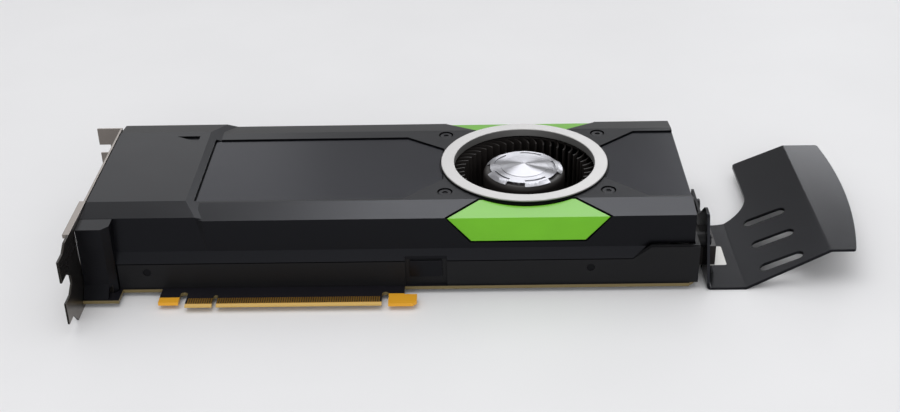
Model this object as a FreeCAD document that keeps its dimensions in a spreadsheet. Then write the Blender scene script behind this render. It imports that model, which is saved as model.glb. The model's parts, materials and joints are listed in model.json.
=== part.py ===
"""Full-length, dual-slot graphics card with a blower cooler and a bent-sheet rear extender.

Millimetres. The origin is the middle of the edge connector's key notch, on the line of the contact
tips, at mid-thickness of the board. X runs to the tail, Y away from the contacts, Z to the fan.
Heights called rises are measured from the board's upper face.
"""
import FreeCAD
import Part
import Sketcher
import math
import operator
import os

SIZES = {
    # circuit board and its edge connector
    "board_thick": 1.57,
    "board_low": 13.3,
    "board_high": 111.15,
    "board_inset": 1.0,
    "board_chamfer": 3.0,
    "foot_low": 4.7,
    "foot_end": -42.0,
    "key_wide": 1.9,
    "key_deep": 8.3,
    "short_long": 11.65,
    "long_long": 71.65,
    "left_gap_wide": 3.2,
    "left_gap_deep": 11.0,
    "left_tab_long": 8.7,
    "left_tab_low": 2.6,
    "hook_gap_wide": 2.9,
    "hook_gap_deep": 9.6,
    "hook_neck": 6.8,
    "hook_long": 12.3,
    "hook_high": 7.2,
    "hook_bevel": 1.6,
    "notch_round": 0.55,
    "pad_pitch": 1.0,
    "pad_wide": 0.7,
    "pad_low": 1.3,
    "pad_long": 4.4,
    "pad_thick": 0.08,
    "tip_bevel": 0.5,
    # chips and power parts on the board
    "gpu_x": 35.0,
    "gpu_y": 62.0,
    "substrate_side": 37.5,
    "substrate_thick": 1.3,
    "die_wide": 21.0,
    "die_thick": 0.8,
    "memory_long": 14.0,
    "memory_wide": 12.0,
    "memory_thick": 1.1,
    "memory_away": 29.0,
    "memory_pitch": 17.0,
    "inductor_side": 8.0,
    "inductor_high": 4.6,
    "inductor_pitch": 12.0,
    "power_row_x": 95.0,
    "stage_side": 5.0,
    "stage_high": 0.9,
    "stage_away": 10.0,
    "can_radius": 3.0,
    "can_high": 7.0,
    "can_gap": 5.0,
    "header_long": 10.0,
    "header_wide": 4.0,
    "header_high": 4.5,
    # power inlet at the tail
    "inlet_low": 28.0,
    "inlet_wide": 19.0,
    "inlet_high": 9.8,
    "inlet_deep": 17.5,
    "inlet_reach": 9.7,
    "latch_wide": 5.0,
    "latch_long": 4.0,
    "latch_high": 1.6,
    "cavity_side": 3.4,
    "cavity_pitch": 4.2,
    "cavity_deep": 11.0,
    "pin_side": 1.1,
    "pin_short": 2.5,
    # input-output bracket
    "bracket_face": 58.5,
    "bracket_thick": 0.9,
    "bracket_under": 3.6,
    "bracket_top": 35.1,
    "bracket_shoulder": -4.5,
    "shoulder_low": 15.0,
    "shoulder_high": 19.0,
    "tongue_neck": -9.0,
    "tongue_tip": -16.0,
    "bracket_high": 120.0,
    "tongue_low": 2.0,
    "tongue_wide": 10.19,
    "slot_pitch": 20.32,
    "lip_deep": 1.9,
    "lip_high": 1.8,
    "lip_low": 2.0,
    "lip_long": 29.0,
    "flange_deep": 11.43,
    "notch_wide": 4.42,
    "notch_deep": 6.0,
    "notch_rise": 4.0,
    "vent_wide": 3.4,
    "vent_pitch": 5.6,
    "vent_count": 16,
    "vent_start": 10.0,
    "vent_low": 15.5,
    "vent_high": 32.0,
    # video sockets
    "socket_proud": 0.9,
    "socket_wall": 0.5,
    "socket_gap": 0.25,
    "port_count": 3,
    "port_gap": 0.7,
    "port_wide": 16.1,
    "port_high": 5.9,
    "port_deep": 13.8,
    "port_rise": 1.0,
    "tongue_plate": 0.8,
    "dvi_low": 62.0,
    "dvi_wide": 25.0,
    "dvi_high": 8.4,
    "dvi_deep": 15.0,
    "dvi_rise": 2.2,
    "dvi_body_wide": 38.0,
    "dvi_body_high": 12.0,
    "jack_inset": 2.5,
    "jack_radius": 2.7,
    "jack_hole": 1.4,
    "jack_proud": 4.8,
    # cast base frame of the cooler
    "frame_wall": 1.8,
    "frame_front": 14.0,
    "frame_rear": 111.0,
    "frame_start": -43.2,
    "parting_rise": 12.7,
    "parting_gap": 0.5,
    "groove_deep": 0.7,
    "tail_rise": 18.5,
    "jog_away": 29.0,
    "jog_run": 7.9,
    "plate_rise": 2.2,
    "plate_thick": 1.8,
    "scroll_radius": 41.5,
    "scroll_wall": 1.5,
    "scroll_rise": 29.3,
    "recess_start": 82.6,
    "recess_long": 18.3,
    "recess_deep": 1.2,
    "recess_top": 16.7,
    "cover_margin": 2.1,
    "cover_low": 4.4,
    "cover_high": 12.4,
    "cover_thick": 0.9,
    # heat sink
    "chamber_long": 86.0,
    "chamber_wide": 72.0,
    "chamber_thick": 3.4,
    "fin_start": -38.0,
    "fin_end": 84.0,
    "fin_front": 20.6,
    "fin_rear": 106.8,
    "fin_floor": 1.5,
    "fin_thick": 0.5,
    "fin_count": 34,
    "fin_top": 29.5,
    "spring_away": 30.0,
    "spring_hole": 1.6,
    "spring_radius": 1.4,
    "spring_head": 2.8,
    "spring_head_high": 0.85,
    "brace_thick": 1.0,
    "brace_arm": 9.0,
    "frame_screw_head": 2.2,
    "frame_screw_left": -30.0,
    "frame_screw_middle": 100.0,
    "frame_screw_away": 15.7,
    "frame_screw_inset": 4.2,
    # moulded shroud
    "shroud_start": -57.4,
    "shroud_inset": 2.1,
    "shroud_wall": 2.2,
    "upper_front": 17.0,
    "upper_rear": 110.4,
    "ledge_rise": 17.1,
    "eave_front": 32.2,
    "eave_rear": 31.8,
    "crease_front": 31.0,
    "crease_rear": 99.2,
    "top_rise": 33.6,
    "block_front": 18.6,
    "block_rise": 34.6,
    "block_drop": 1.5,
    "block_end": -13.5,
    "facet_run": 4.0,
    "facet_drop": 1.0,
    "post_front": 9.5,
    "post_end": -43.5,
    "post_rise": 33.0,
    "post_slope": 0.2,
    "post_corner": 3.0,
    "post_foot": 5.0,
    "post_foot_rise": 0.6,
    "post_flare": 5.2,
    "post_wall": 1.8,
    "pocket_deep": 0.9,
    "pocket_start": -29.1,
    "pocket_end": -18.0,
    "pocket_low": 88.6,
    "pocket_high": 94.8,
    # panels let into the top of the shroud
    "panel_thick": 0.8,
    "panel_sunk": 0.7,
    "panel_gap": 0.5,
    "panel_front": 33.0,
    "window_start": -9.7,
    "window_rear": 92.0,
    "window_tuck": 0.8,
    "window_nose_long": 17.0,
    "nose_half": 15.0,
    "tail_panel_tuck": 2.7,
    "tail_panel_nose_long": 17.8,
    "tail_panel_rear": 95.6,
    # coloured accents
    "accent_thick": 1.2,
    "accent_gap": 0.5,
    "accent_sunk": 0.5,
    "accent_fan_gap": 0.9,
    "accent_foot": 20.3,
    "accent_top_half": 21.0,
    "accent_eave_half": 35.6,
    "accent_foot_half": 24.8,
    # fan intake
    "fan_x": 136.47,
    "tail_away": 74.2,
    "fan_y": 65.0,
    "ring_outer": 38.24,
    "ring_inner": 32.25,
    "ring_thick": 0.8,
    "ring_top": 34.8,
    "skirt_thick": 0.8,
    "skirt_deep": 3.0,
    "collar_step": 0.3,
    "collar_low": 30.7,
    # shroud and side screws
    "screw_away_x": 36.2,
    "screw_away_y": 28.2,
    "screw_shift": 1.3,
    "bore_radius": 3.4,
    "bore_deep": 1.3,
    "head_radius": 2.8,
    "head_high": 0.9,
    "hex_radius": 1.3,
    "hex_deep": 0.5,
    "shank_radius": 1.0,
    "shank_long": 4.6,
    "screw_clear": 0.1,
    "boss_radius": 3.6,
    "boss_low": 27.0,
    "side_screw_left": -30.5,
    "side_screw_right": 163.6,
    "side_screw_rise": 8.3,
    "side_head": 1.7,
    "side_head_high": 0.7,
    "side_bore_deep": 0.9,
    "side_shank": 0.8,
    "side_shank_long": 2.4,
    # blower
    "motor_radius": 20.0,
    "motor_thick": 1.5,
    "sleeve_radius": 4.2,
    "sleeve_top": 22.0,
    "bearing_radius": 2.6,
    "bearing_low": 6.0,
    "shaft_radius": 1.5,
    "shaft_clear": 0.03,
    "shaft_low": 6.4,
    "hub_radius": 18.8,
    "hub_wall": 1.6,
    "hub_top": 30.3,
    "hub_roof": 1.8,
    "hub_boss": 3.6,
    "hub_boss_low": 23.5,
    "disc_low": 7.2,
    "disc_thick": 1.0,
    "blade_inner": 27.6,
    "blade_outer": 35.0,
    "blade_sweep": 9.0,
    "blade_curve": 9.5,
    "blade_thick": 0.7,
    "blade_count": 48,
    "blade_top": 29.6,
    "rim_wide": 0.9,
    "rim_high": 1.0,
    "magnet_wall": 1.5,
    "magnet_low": 10.0,
    "magnet_high": 20.0,
    "stator_radius": 14.6,
    "stator_root": 7.0,
    "stator_low": 11.0,
    "stator_high": 19.0,
    "tooth_wide": 3.4,
    "tooth_count": 9,
    "cap_radius": 15.7,
    "cap_edge": 1.1,
    "cap_step": 0.2,
    "cap_cone": 1.9,
    "cap_inner": 10.6,
    "cap_slot_outer": 14.4,
    "cap_slot_inner": 13.4,
    "cap_slot_angle": 42.0,
    "cap_slot_deep": 1.0,
    "cap_flap_count": 5,
    "cap_flap_reach": 17.7,
    "cap_flap_angle": 2.0,
    # rear extender
    "sheet_thick": 1.2,
    "extender_floor": -2.815,
    "flange_away": 5.1,
    "extender_front": 13.0,
    "raised_set_back": 4.8,
    "extender_flange_top": 27.6,
    "extender_flange_lean": 12.5,
    "ear_rear": 32.0,
    "ear_foot": 44.0,
    "ear_round": 2.4,
    "flange_rear_rise": 17.4,
    "extender_neck": 66.9,
    "low_panel_long": 16.1,
    "slope_long": 36.6,
    "extender_climb": 15.9,
    "arm_away": 28.1,
    "extender_rear": 118.0,
    "raised_panel_long": 18.9,
    "extender_arc": 267.0,
    "extender_arc_y": 83.7,
    "extender_fillet": 19.0,
    "extender_corner": 1.5,
    "slot_away": 7.5,
    "slot_long": 18.4,
    "extender_slot_wide": 5.6,
    "extender_slot_low": 22.8,
    "extender_slot_pitch": 19.4,
    "extender_bend_round": 1.0,
    "extender_boss": 3.4,
    "extender_screw_rise": 14.3,
    "extender_screw_low": 26.5,
    "extender_screw_high": 58.0,
    "extender_head": 2.6,
    "extender_head_high": 1.4,
    "extender_shank": 1.4,
    "extender_shank_long": 4.6,
}

doc = FreeCAD.newDocument("graphics_card")
sheet = doc.addObject("Spreadsheet::Sheet", "Sizes")
for row, (alias, number) in enumerate(SIZES.items(), start=1):
    sheet.set(f"A{row}", alias)
    sheet.set(f"B{row}", str(number))
    sheet.setAlias(f"B{row}", alias)
doc.recompute()

SIGNS = {"+": operator.add, "-": operator.sub, "*": operator.mul, "/": operator.truediv}


class Size:
    """A size with its number and the sheet formula that gives it."""

    def __init__(self, number, text):
        self.number = number
        self.text = text

    def __float__(self):
        return self.number

    def __add__(self, other):
        return joined(self, "+", other)

    def __radd__(self, other):
        return joined(other, "+", self)

    def __sub__(self, other):
        return joined(self, "-", other)

    def __rsub__(self, other):
        return joined(other, "-", self)

    def __mul__(self, other):
        return joined(self, "*", other)

    def __rmul__(self, other):
        return joined(other, "*", self)

    def __truediv__(self, other):
        return joined(self, "/", other)

    def __neg__(self):
        return joined(0, "-", self)


def as_size(value):
    if isinstance(value, Size):
        return value
    return Size(float(value), f"({float(value)!r})")


def joined(left, sign, right):
    left = as_size(left)
    right = as_size(right)
    return Size(SIGNS[sign](left.number, right.number), f"({left.text} {sign} {right.text})")


def cosine(angle):
    angle = as_size(angle)
    return Size(math.cos(math.radians(angle.number)), f"cos({angle.text} * 1 deg)")


def sine(angle):
    angle = as_size(angle)
    return Size(math.sin(math.radians(angle.number)), f"sin({angle.text} * 1 deg)")


class Driving:
    """The driving sizes, one attribute for each cell of the sheet."""


size = Driving()
for alias, number in SIZES.items():
    setattr(size, alias, Size(float(number), f"Sizes.{alias}"))


def rise(value):
    """Height in the part's frame of a height above the board's upper face."""
    return size.board_thick / 2 + value


# Helpers that make document objects bound to the sheet

def bind(made, **values):
    for name, value in values.items():
        made.setExpression(name, as_size(value).text)


def place(made, x=0, y=0, z=0):
    for axis, value in zip("xyz", (x, y, z)):
        made.setExpression(f"Placement.Base.{axis}", as_size(value).text)


def box(label, x, y, z):
    made = doc.addObject("Part::Box", label)
    bind(made, Length=x[1] - x[0], Width=y[1] - y[0], Height=z[1] - z[0])
    place(made, x[0], y[0], z[0])
    return made


TURNS = {
    "x": FreeCAD.Rotation(FreeCAD.Vector(0, 1, 0), 90),
    "y": FreeCAD.Rotation(FreeCAD.Vector(1, 0, 0), -90),
    "z": FreeCAD.Rotation(),
}


def cylinder(label, x, y, z, radius, length, axis="z"):
    """A cylinder that starts at x, y, z and runs along the positive axis."""
    made = doc.addObject("Part::Cylinder", label)
    made.Placement = FreeCAD.Placement(FreeCAD.Vector(), TURNS[axis])
    bind(made, Radius=radius, Height=length)
    place(made, x, y, z)
    return made


def hexagon(label, x, y, z, radius, length, axis="z"):
    made = doc.addObject("Part::Prism", label)
    made.Polygon = 6
    made.Placement = FreeCAD.Placement(FreeCAD.Vector(), TURNS[axis])
    bind(made, Circumradius=radius, Height=length)
    place(made, x, y, z)
    return made


def fuse(label, pieces):
    made = doc.addObject("Part::MultiFuse", label)
    made.Shapes = pieces
    return made


def cut(label, base, tools):
    made = doc.addObject("Part::Cut", label)
    made.Base = base
    made.Tool = tools[0] if len(tools) == 1 else fuse(label + "_tools", tools)
    return made


def common(label, base, tool):
    made = doc.addObject("Part::Common", label)
    made.Base = base
    made.Tool = tool
    return made


def group(label, pieces):
    made = doc.addObject("Part::Compound", label)
    made.Links = pieces
    return made


def rounded(label, base, radius, wanted):
    """Rounds the edges of a base whose middle point passes the wanted test."""
    doc.recompute()
    made = doc.addObject("Part::Fillet", label)
    made.Base = base
    picked = []
    for index, edge in enumerate(base.Shape.Edges, start=1):
        middle = edge.valueAt((edge.FirstParameter + edge.LastParameter) / 2)
        if wanted(edge, middle):
            picked.append((index, float(radius), float(radius)))
    made.Edges = picked
    return made


def sketch(body, name, plane, offset=0):
    """A sketch on one of the body's own origin planes, moved along the plane's normal."""
    made = body.newObject("Sketcher::SketchObject", name)
    support = next(item for item in body.Origin.OriginFeatures if item.Role == plane)
    made.AttachmentSupport = [(support, "")]
    made.MapMode = "FlatFace"
    made.setExpression("AttachmentOffset.Base.z", as_size(offset).text)
    return made


def hold(profile, kind, value, *points):
    index = profile.addConstraint(Sketcher.Constraint(kind, *points, float(value)))
    profile.setExpression(f"Constraints[{index}]", as_size(value).text)


def bowed(start, end, radius):
    """An arc between two points, which bulges to the right of its way if the radius is positive."""
    chord = end - start
    sag = abs(radius) - math.sqrt(max(0.0, radius ** 2 - (chord.Length / 2) ** 2))
    across = FreeCAD.Vector(chord.y, -chord.x, 0).normalize()
    middle = (start + end) * 0.5 + across * math.copysign(sag, radius)
    if radius < 0:
        start, end = end, start
    return Part.Arc(start, middle, end)


def polygon(profile, corners, bows=None):
    """A closed outline through corners. Bows maps the number of an edge to its radius."""
    bows = bows or {}
    count = len(corners)
    points = [FreeCAD.Vector(float(x), float(y), 0) for x, y in corners]
    ends = []
    for index, start in enumerate(points):
        end = points[(index + 1) % count]
        edge = bowed(start, end, float(bows[index])) if index in bows else Part.LineSegment(start, end)
        number = profile.addGeometry(edge, False)
        kept = profile.Geometry[number]
        forward = kept.StartPoint.distanceToPoint(start) < kept.EndPoint.distanceToPoint(start)
        ends.append((number, 1, 2) if forward else (number, 2, 1))
    for index, (number, _, head) in enumerate(ends):
        following, tail, _ = ends[(index + 1) % count]
        profile.addConstraint(Sketcher.Constraint("Coincident", number, head, following, tail))
    for (x, y), (number, tail, _) in zip(corners, ends):
        hold(profile, "DistanceX", x, -1, 1, number, tail)
        hold(profile, "DistanceY", y, -1, 1, number, tail)
    for index, radius in bows.items():
        length = Size(abs(float(radius)), f"abs({as_size(radius).text})")
        hold(profile, "Radius", length, ends[index][0])


def circle(profile, x, y, radius):
    index = profile.GeometryCount
    centre = FreeCAD.Vector(float(x), float(y), 0)
    profile.addGeometry(Part.Circle(centre, FreeCAD.Vector(0, 0, 1), float(radius)), False)
    hold(profile, "DistanceX", x, -1, 1, index, 3)
    hold(profile, "DistanceY", y, -1, 1, index, 3)
    hold(profile, "Radius", radius, index)


def pad(body, profile, name, length):
    made = body.newObject("PartDesign::Pad", name)
    made.Profile = profile
    bind(made, Length=length)
    body.Tip = made
    doc.recompute()
    return made


def pocket(body, profile, name, length, reverse=False):
    """Cuts against the sketch's normal, or along it if reversed, and checks that it cut."""
    before = body.Tip.Shape.Volume
    made = body.newObject("PartDesign::Pocket", name)
    made.Profile = profile
    made.Reversed = reverse
    bind(made, Length=length)
    body.Tip = made
    doc.recompute()
    if made.Shape.isNull() or made.Shape.Volume >= before:
        raise RuntimeError(f"{name} cuts nothing")
    return made


def new_body(label):
    return doc.addObject("PartDesign::Body", label)


# Places that several pieces share

BRACKET_OUTER = -size.bracket_face
BRACKET_INNER = BRACKET_OUTER + size.bracket_thick
BOARD_UNDER = -size.board_thick / 2
SHORT_END = -size.key_wide / 2 - size.short_long
LONG_END = size.key_wide / 2 + size.long_long
PLATE_TOP = size.plate_rise + size.plate_thick
FRAME_TAIL = size.fan_x + size.tail_away
BOARD_TAIL = FRAME_TAIL - size.board_inset
SHROUD_TAIL = FRAME_TAIL - size.shroud_inset
JOG_START = FRAME_TAIL - size.jog_away
JOG_END = JOG_START + size.jog_run
INLET_TIP = FRAME_TAIL + size.inlet_reach
FLANGE_FACE = FRAME_TAIL + size.flange_away
ARM_SIDE = FLANGE_FACE + size.arm_away
BEND_UP = FLANGE_FACE + size.low_panel_long
BEND_LEVEL = BEND_UP + size.slope_long
EXTENDER_TIP = BEND_LEVEL + size.raised_panel_long
FACET_LEAN = size.facet_run / size.facet_drop
MAIN_START = size.block_end + size.block_drop * FACET_LEAN
EAVE_START = size.block_end + (size.block_rise - size.eave_front) * FACET_LEAN
CAN_X = size.fan_x + size.scroll_radius + size.scroll_wall + size.can_gap
DVI_Y = size.dvi_low + size.dvi_body_wide / 2
JACK_AWAY = size.dvi_body_wide / 2 - size.jack_inset
DIE_TOP = size.substrate_thick + size.die_thick
FIN_BASE = DIE_TOP + size.chamber_thick
RIGHT_THROUGH = size.board_high * 2
NEAR_ENOUGH = 0.5
ALIGNED = 0.9


def spring_spots():
    for side in (-1, 1):
        for end in (-1, 1):
            yield size.gpu_x + side * size.spring_away, size.gpu_y + end * size.spring_away


def frame_screw_spots():
    """Screws from under the board into the base frame's bosses."""
    for x in (size.frame_screw_left, size.frame_screw_middle, FRAME_TAIL - size.frame_screw_away):
        for y in (size.frame_front + size.frame_screw_inset, size.frame_rear - size.frame_screw_inset):
            yield x, y


# Circuit board

def circuit_board():
    body = new_body("circuit_board")
    outline = sketch(body, "board_outline", "XY_Plane", BOARD_UNDER)
    left_tab_right = SHORT_END - size.left_gap_wide
    left_tab_left = left_tab_right - size.left_tab_long
    hook_left = LONG_END + size.hook_gap_wide
    hook_right = hook_left + size.hook_long
    half_key = size.key_wide / 2
    polygon(outline, [
        (BRACKET_INNER, size.foot_low),
        (size.foot_end, size.foot_low),
        (size.foot_end, size.board_low),
        (left_tab_left, size.board_low),
        (left_tab_left, size.left_tab_low),
        (left_tab_right, size.left_tab_low),
        (left_tab_right, size.left_gap_deep - size.left_gap_wide / 2),
        (SHORT_END, size.left_gap_deep - size.left_gap_wide / 2),
        (SHORT_END, 0),
        (-half_key, 0),
        (-half_key, size.key_deep - half_key),
        (half_key, size.key_deep - half_key),
        (half_key, 0),
        (LONG_END, 0),
        (LONG_END, size.hook_gap_deep - size.hook_gap_wide / 2),
        (hook_left, size.hook_gap_deep - size.hook_gap_wide / 2),
        (hook_left, 0),
        (hook_right - size.hook_bevel, 0),
        (hook_right, size.hook_bevel),
        (hook_right, size.hook_high),
        (hook_left + size.hook_neck, size.hook_high),
        (hook_left + size.hook_neck, size.board_low),
        (BOARD_TAIL - size.board_chamfer, size.board_low),
        (BOARD_TAIL, size.board_low + size.board_chamfer),
        (BOARD_TAIL, size.board_high),
        (BRACKET_INNER, size.board_high),
    ], {6: -size.left_gap_wide * size.notch_round, 10: -size.key_wide * size.notch_round,
        14: -size.hook_gap_wide * size.notch_round})
    pad(body, outline, "board_pad", size.board_thick)
    for face in (1, -1):
        bevel = sketch(body, f"tip_bevel_{face}", "YZ_Plane", LONG_END)
        top = face * size.board_thick / 2
        polygon(bevel, [(-size.pad_low, top), (size.pad_low, top), (0, top - face * size.tip_bevel),
                        (-size.pad_low, top - face * size.tip_bevel)])
        pocket(body, bevel, f"tip_bevel_cut_{face}", LONG_END - SHORT_END)
    holes = sketch(body, "board_holes", "XY_Plane", size.board_thick)
    for x, y in spring_spots():
        circle(holes, x, y, size.spring_hole)
    for x, y in frame_screw_spots():
        circle(holes, x, y, size.shank_radius + size.screw_clear)
    pocket(body, holes, "board_hole_cut", size.board_thick * 2)
    return body


def edge_contacts():
    """Gold pads on both faces of the edge connector, left out at the key notch."""
    pads = []
    reach = float(SHORT_END), float(LONG_END)
    half_key = float(size.key_wide) / 2
    pitch = float(size.pad_pitch)
    wide = float(size.pad_wide)
    thick = float(size.pad_thick)
    first = half_key + pitch / 2
    spots = []
    for way, end in ((-1, -reach[0]), (1, reach[1])):
        spot = first
        while spot + wide / 2 < end:
            spots.append(way * spot)
            spot += pitch
    for z in (float(size.board_thick) / 2, -float(size.board_thick) / 2 - thick):
        for spot in spots:
            corner = FreeCAD.Vector(spot - wide / 2, float(size.pad_low), z)
            pads.append(Part.makeBox(wide, float(size.pad_long), thick, corner))
    made = doc.addObject("Part::Feature", "edge_contacts")
    made.Shape = Part.makeCompound(pads)
    return made


# Chips and power parts

def on_board(label, x, y, long, wide, high, low=0):
    """A block centred at x, y that stands on the board or on a given rise."""
    return box(label, (x - long / 2, x + long / 2), (y - wide / 2, y + wide / 2),
               (rise(low), rise(low + high)))


def board_parts():
    side = size.substrate_side
    yield on_board("gpu_substrate", size.gpu_x, size.gpu_y, side, side, size.substrate_thick)
    yield on_board("gpu_die", size.gpu_x, size.gpu_y, size.die_wide, size.die_wide, size.die_thick,
                   size.substrate_thick)
    chips = []
    for step in (-0.5, 0.5):
        for way in (-1, 1):
            chips.append(on_board(f"memory_end_{way}_{step}", size.gpu_x + way * size.memory_away,
                                  size.gpu_y + step * size.memory_pitch, size.memory_wide,
                                  size.memory_long, size.memory_thick))
            chips.append(on_board(f"memory_side_{way}_{step}", size.gpu_x + step * size.memory_pitch,
                                  size.gpu_y + way * size.memory_away, size.memory_long,
                                  size.memory_wide, size.memory_thick))
    yield group("memory_chips", chips)
    coils = []
    stages = []
    cans = []
    for step in (-2, -1, 0, 1, 2):
        y = size.gpu_y + step * size.inductor_pitch
        coils.append(on_board(f"inductor_{step}", size.power_row_x, y, size.inductor_side,
                              size.inductor_side, size.inductor_high))
        stages.append(on_board(f"stage_{step}", size.power_row_x + size.stage_away, y, size.stage_side,
                               size.stage_side, size.stage_high))
        cans.append(cylinder(f"can_{step}", CAN_X, y + size.can_radius, rise(0),
                             size.can_radius, size.can_high))
    yield group("power_inductors", coils)
    yield group("power_stages", stages)
    yield group("capacitors", cans)
    yield on_board("fan_header", (CAN_X + BOARD_TAIL) / 2, size.gpu_y + size.inductor_pitch,
                   size.header_wide, size.header_long, size.header_high)


# Power inlet

def inlet_cavities(side, start, end):
    """The centres of the inlet's two rows of four, as boxes of one side between two X places."""
    middle_y = size.inlet_low + size.inlet_wide / 2
    middle_z = rise(size.inlet_high / 2)
    for column in (-1.5, -0.5, 0.5, 1.5):
        for level in (-0.5, 0.5):
            y = middle_y + column * size.cavity_pitch
            z = middle_z + level * size.cavity_pitch
            yield box("inlet_cell", (start, end), (y - side / 2, y + side / 2), (z - side / 2, z + side / 2))


def inlet_latch():
    """The ramp on top of the inlet that the plug's latch hooks behind."""
    body = new_body("inlet_latch")
    middle = size.inlet_low + size.inlet_wide / 2
    top = rise(size.inlet_high)
    side = sketch(body, "latch_outline", "XZ_Plane", -middle - size.latch_wide / 2)
    polygon(side, [
        (INLET_TIP - size.latch_long, top),
        (INLET_TIP, top),
        (INLET_TIP - size.latch_long, top + size.latch_high),
    ])
    pad(body, side, "latch_pad", size.latch_wide)
    return body


def power_inlet():
    tip = INLET_TIP
    blank = box("inlet_blank", (tip - size.inlet_deep, tip),
                (size.inlet_low, size.inlet_low + size.inlet_wide), (rise(0), rise(size.inlet_high)))
    cavity_end = tip - size.cavity_deep
    yield cut("power_inlet", fuse("inlet_solid", [blank, inlet_latch()]),
              list(inlet_cavities(size.cavity_side, cavity_end, tip)))
    yield group("inlet_pins", list(inlet_cavities(size.pin_side, cavity_end, tip - size.pin_short)))


# Video sockets

def shell(label, y, wide, high, deep, low, wall):
    """A thin sheet sleeve that is open towards the outside, with a closed back."""
    outer_x = BRACKET_OUTER - size.socket_proud
    blank = box(label + "_blank", (outer_x, outer_x + deep), (y - wide / 2, y + wide / 2),
                (rise(low), rise(low + high)))
    hollow = box(label + "_hollow", (outer_x, outer_x + deep - wall),
                 (y - wide / 2 + wall, y + wide / 2 - wall), (rise(low + wall), rise(low + high - wall)))
    return cut(label + "_shell", blank, [hollow])


def port_spots():
    last = DVI_Y - size.dvi_body_wide / 2 - size.port_gap - size.port_wide / 2
    for index in range(int(SIZES["port_count"])):
        yield last - index * (size.port_wide + size.port_gap)


def video_sockets():
    wall = size.socket_wall
    outer_x = BRACKET_OUTER - size.socket_proud
    inside = outer_x + size.port_deep - wall
    shells = []
    plates = []
    for y in port_spots():
        shells.append(shell("port", y, size.port_wide, size.port_high, size.port_deep, 0, wall))
        half = size.port_wide / 2 - wall * 4
        middle = rise(size.port_high / 2 + size.port_rise / 2)
        plates.append(box("port_plate", (outer_x + wall * 2, inside), (y - half, y + half),
                          (middle, middle + size.tongue_plate)))
    yield group("displayport_shells", shells)
    yield group("displayport_plates", plates)
    body_start = BRACKET_INNER
    yield cut("dvi_body", box("dvi_block", (body_start, body_start + size.dvi_deep),
                              (DVI_Y - size.dvi_body_wide / 2, DVI_Y + size.dvi_body_wide / 2),
                              (rise(0), rise(size.dvi_body_high))),
              jack_holes())
    yield dvi_face()
    yield dvi_jacks()


def jack_spots():
    for way in (-1, 1):
        yield DVI_Y + way * JACK_AWAY, rise(size.dvi_rise + size.dvi_high / 2)


def jack_holes():
    return [cylinder("jack_hole", BRACKET_INNER, y, z, size.jack_hole, size.jack_proud, "x")
            for y, z in jack_spots()]


def dvi_face():
    """The metal sleeve round the DVI contacts, with its insulator one step behind the rim."""
    wall = size.socket_wall
    y = DVI_Y
    half = size.dvi_wide / 2
    low = size.dvi_rise
    outer_x = BRACKET_OUTER - size.socket_proud * 2
    blank = box("dvi_blank", (outer_x, BRACKET_INNER), (y - half, y + half),
                (rise(low), rise(low + size.dvi_high)))
    hollow = box("dvi_hollow", (outer_x, BRACKET_OUTER), (y - half + wall, y + half - wall),
                 (rise(low + wall), rise(low + size.dvi_high - wall)))
    return cut("dvi_sleeve", blank, [hollow])


def dvi_jacks():
    """Hexagonal stand-offs that clamp the bracket and take the plug's thumbscrews."""
    jacks = []
    for y, z in jack_spots():
        nut = hexagon("jack_nut", BRACKET_OUTER - size.jack_proud, y, z, size.jack_radius,
                      size.jack_proud, "x")
        stem = cylinder("jack_stem", BRACKET_OUTER, y, z, size.jack_hole,
                        size.bracket_thick + size.jack_proud, "x")
        bore = cylinder("jack_bore", BRACKET_OUTER - size.jack_proud, y, z, size.jack_hole * 0.75,
                        size.jack_proud, "x")
        jacks.append(cut("jack", fuse("jack_blank", [nut, stem]), [bore]))
    return group("dvi_jacks", jacks)


# Input-output bracket

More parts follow.
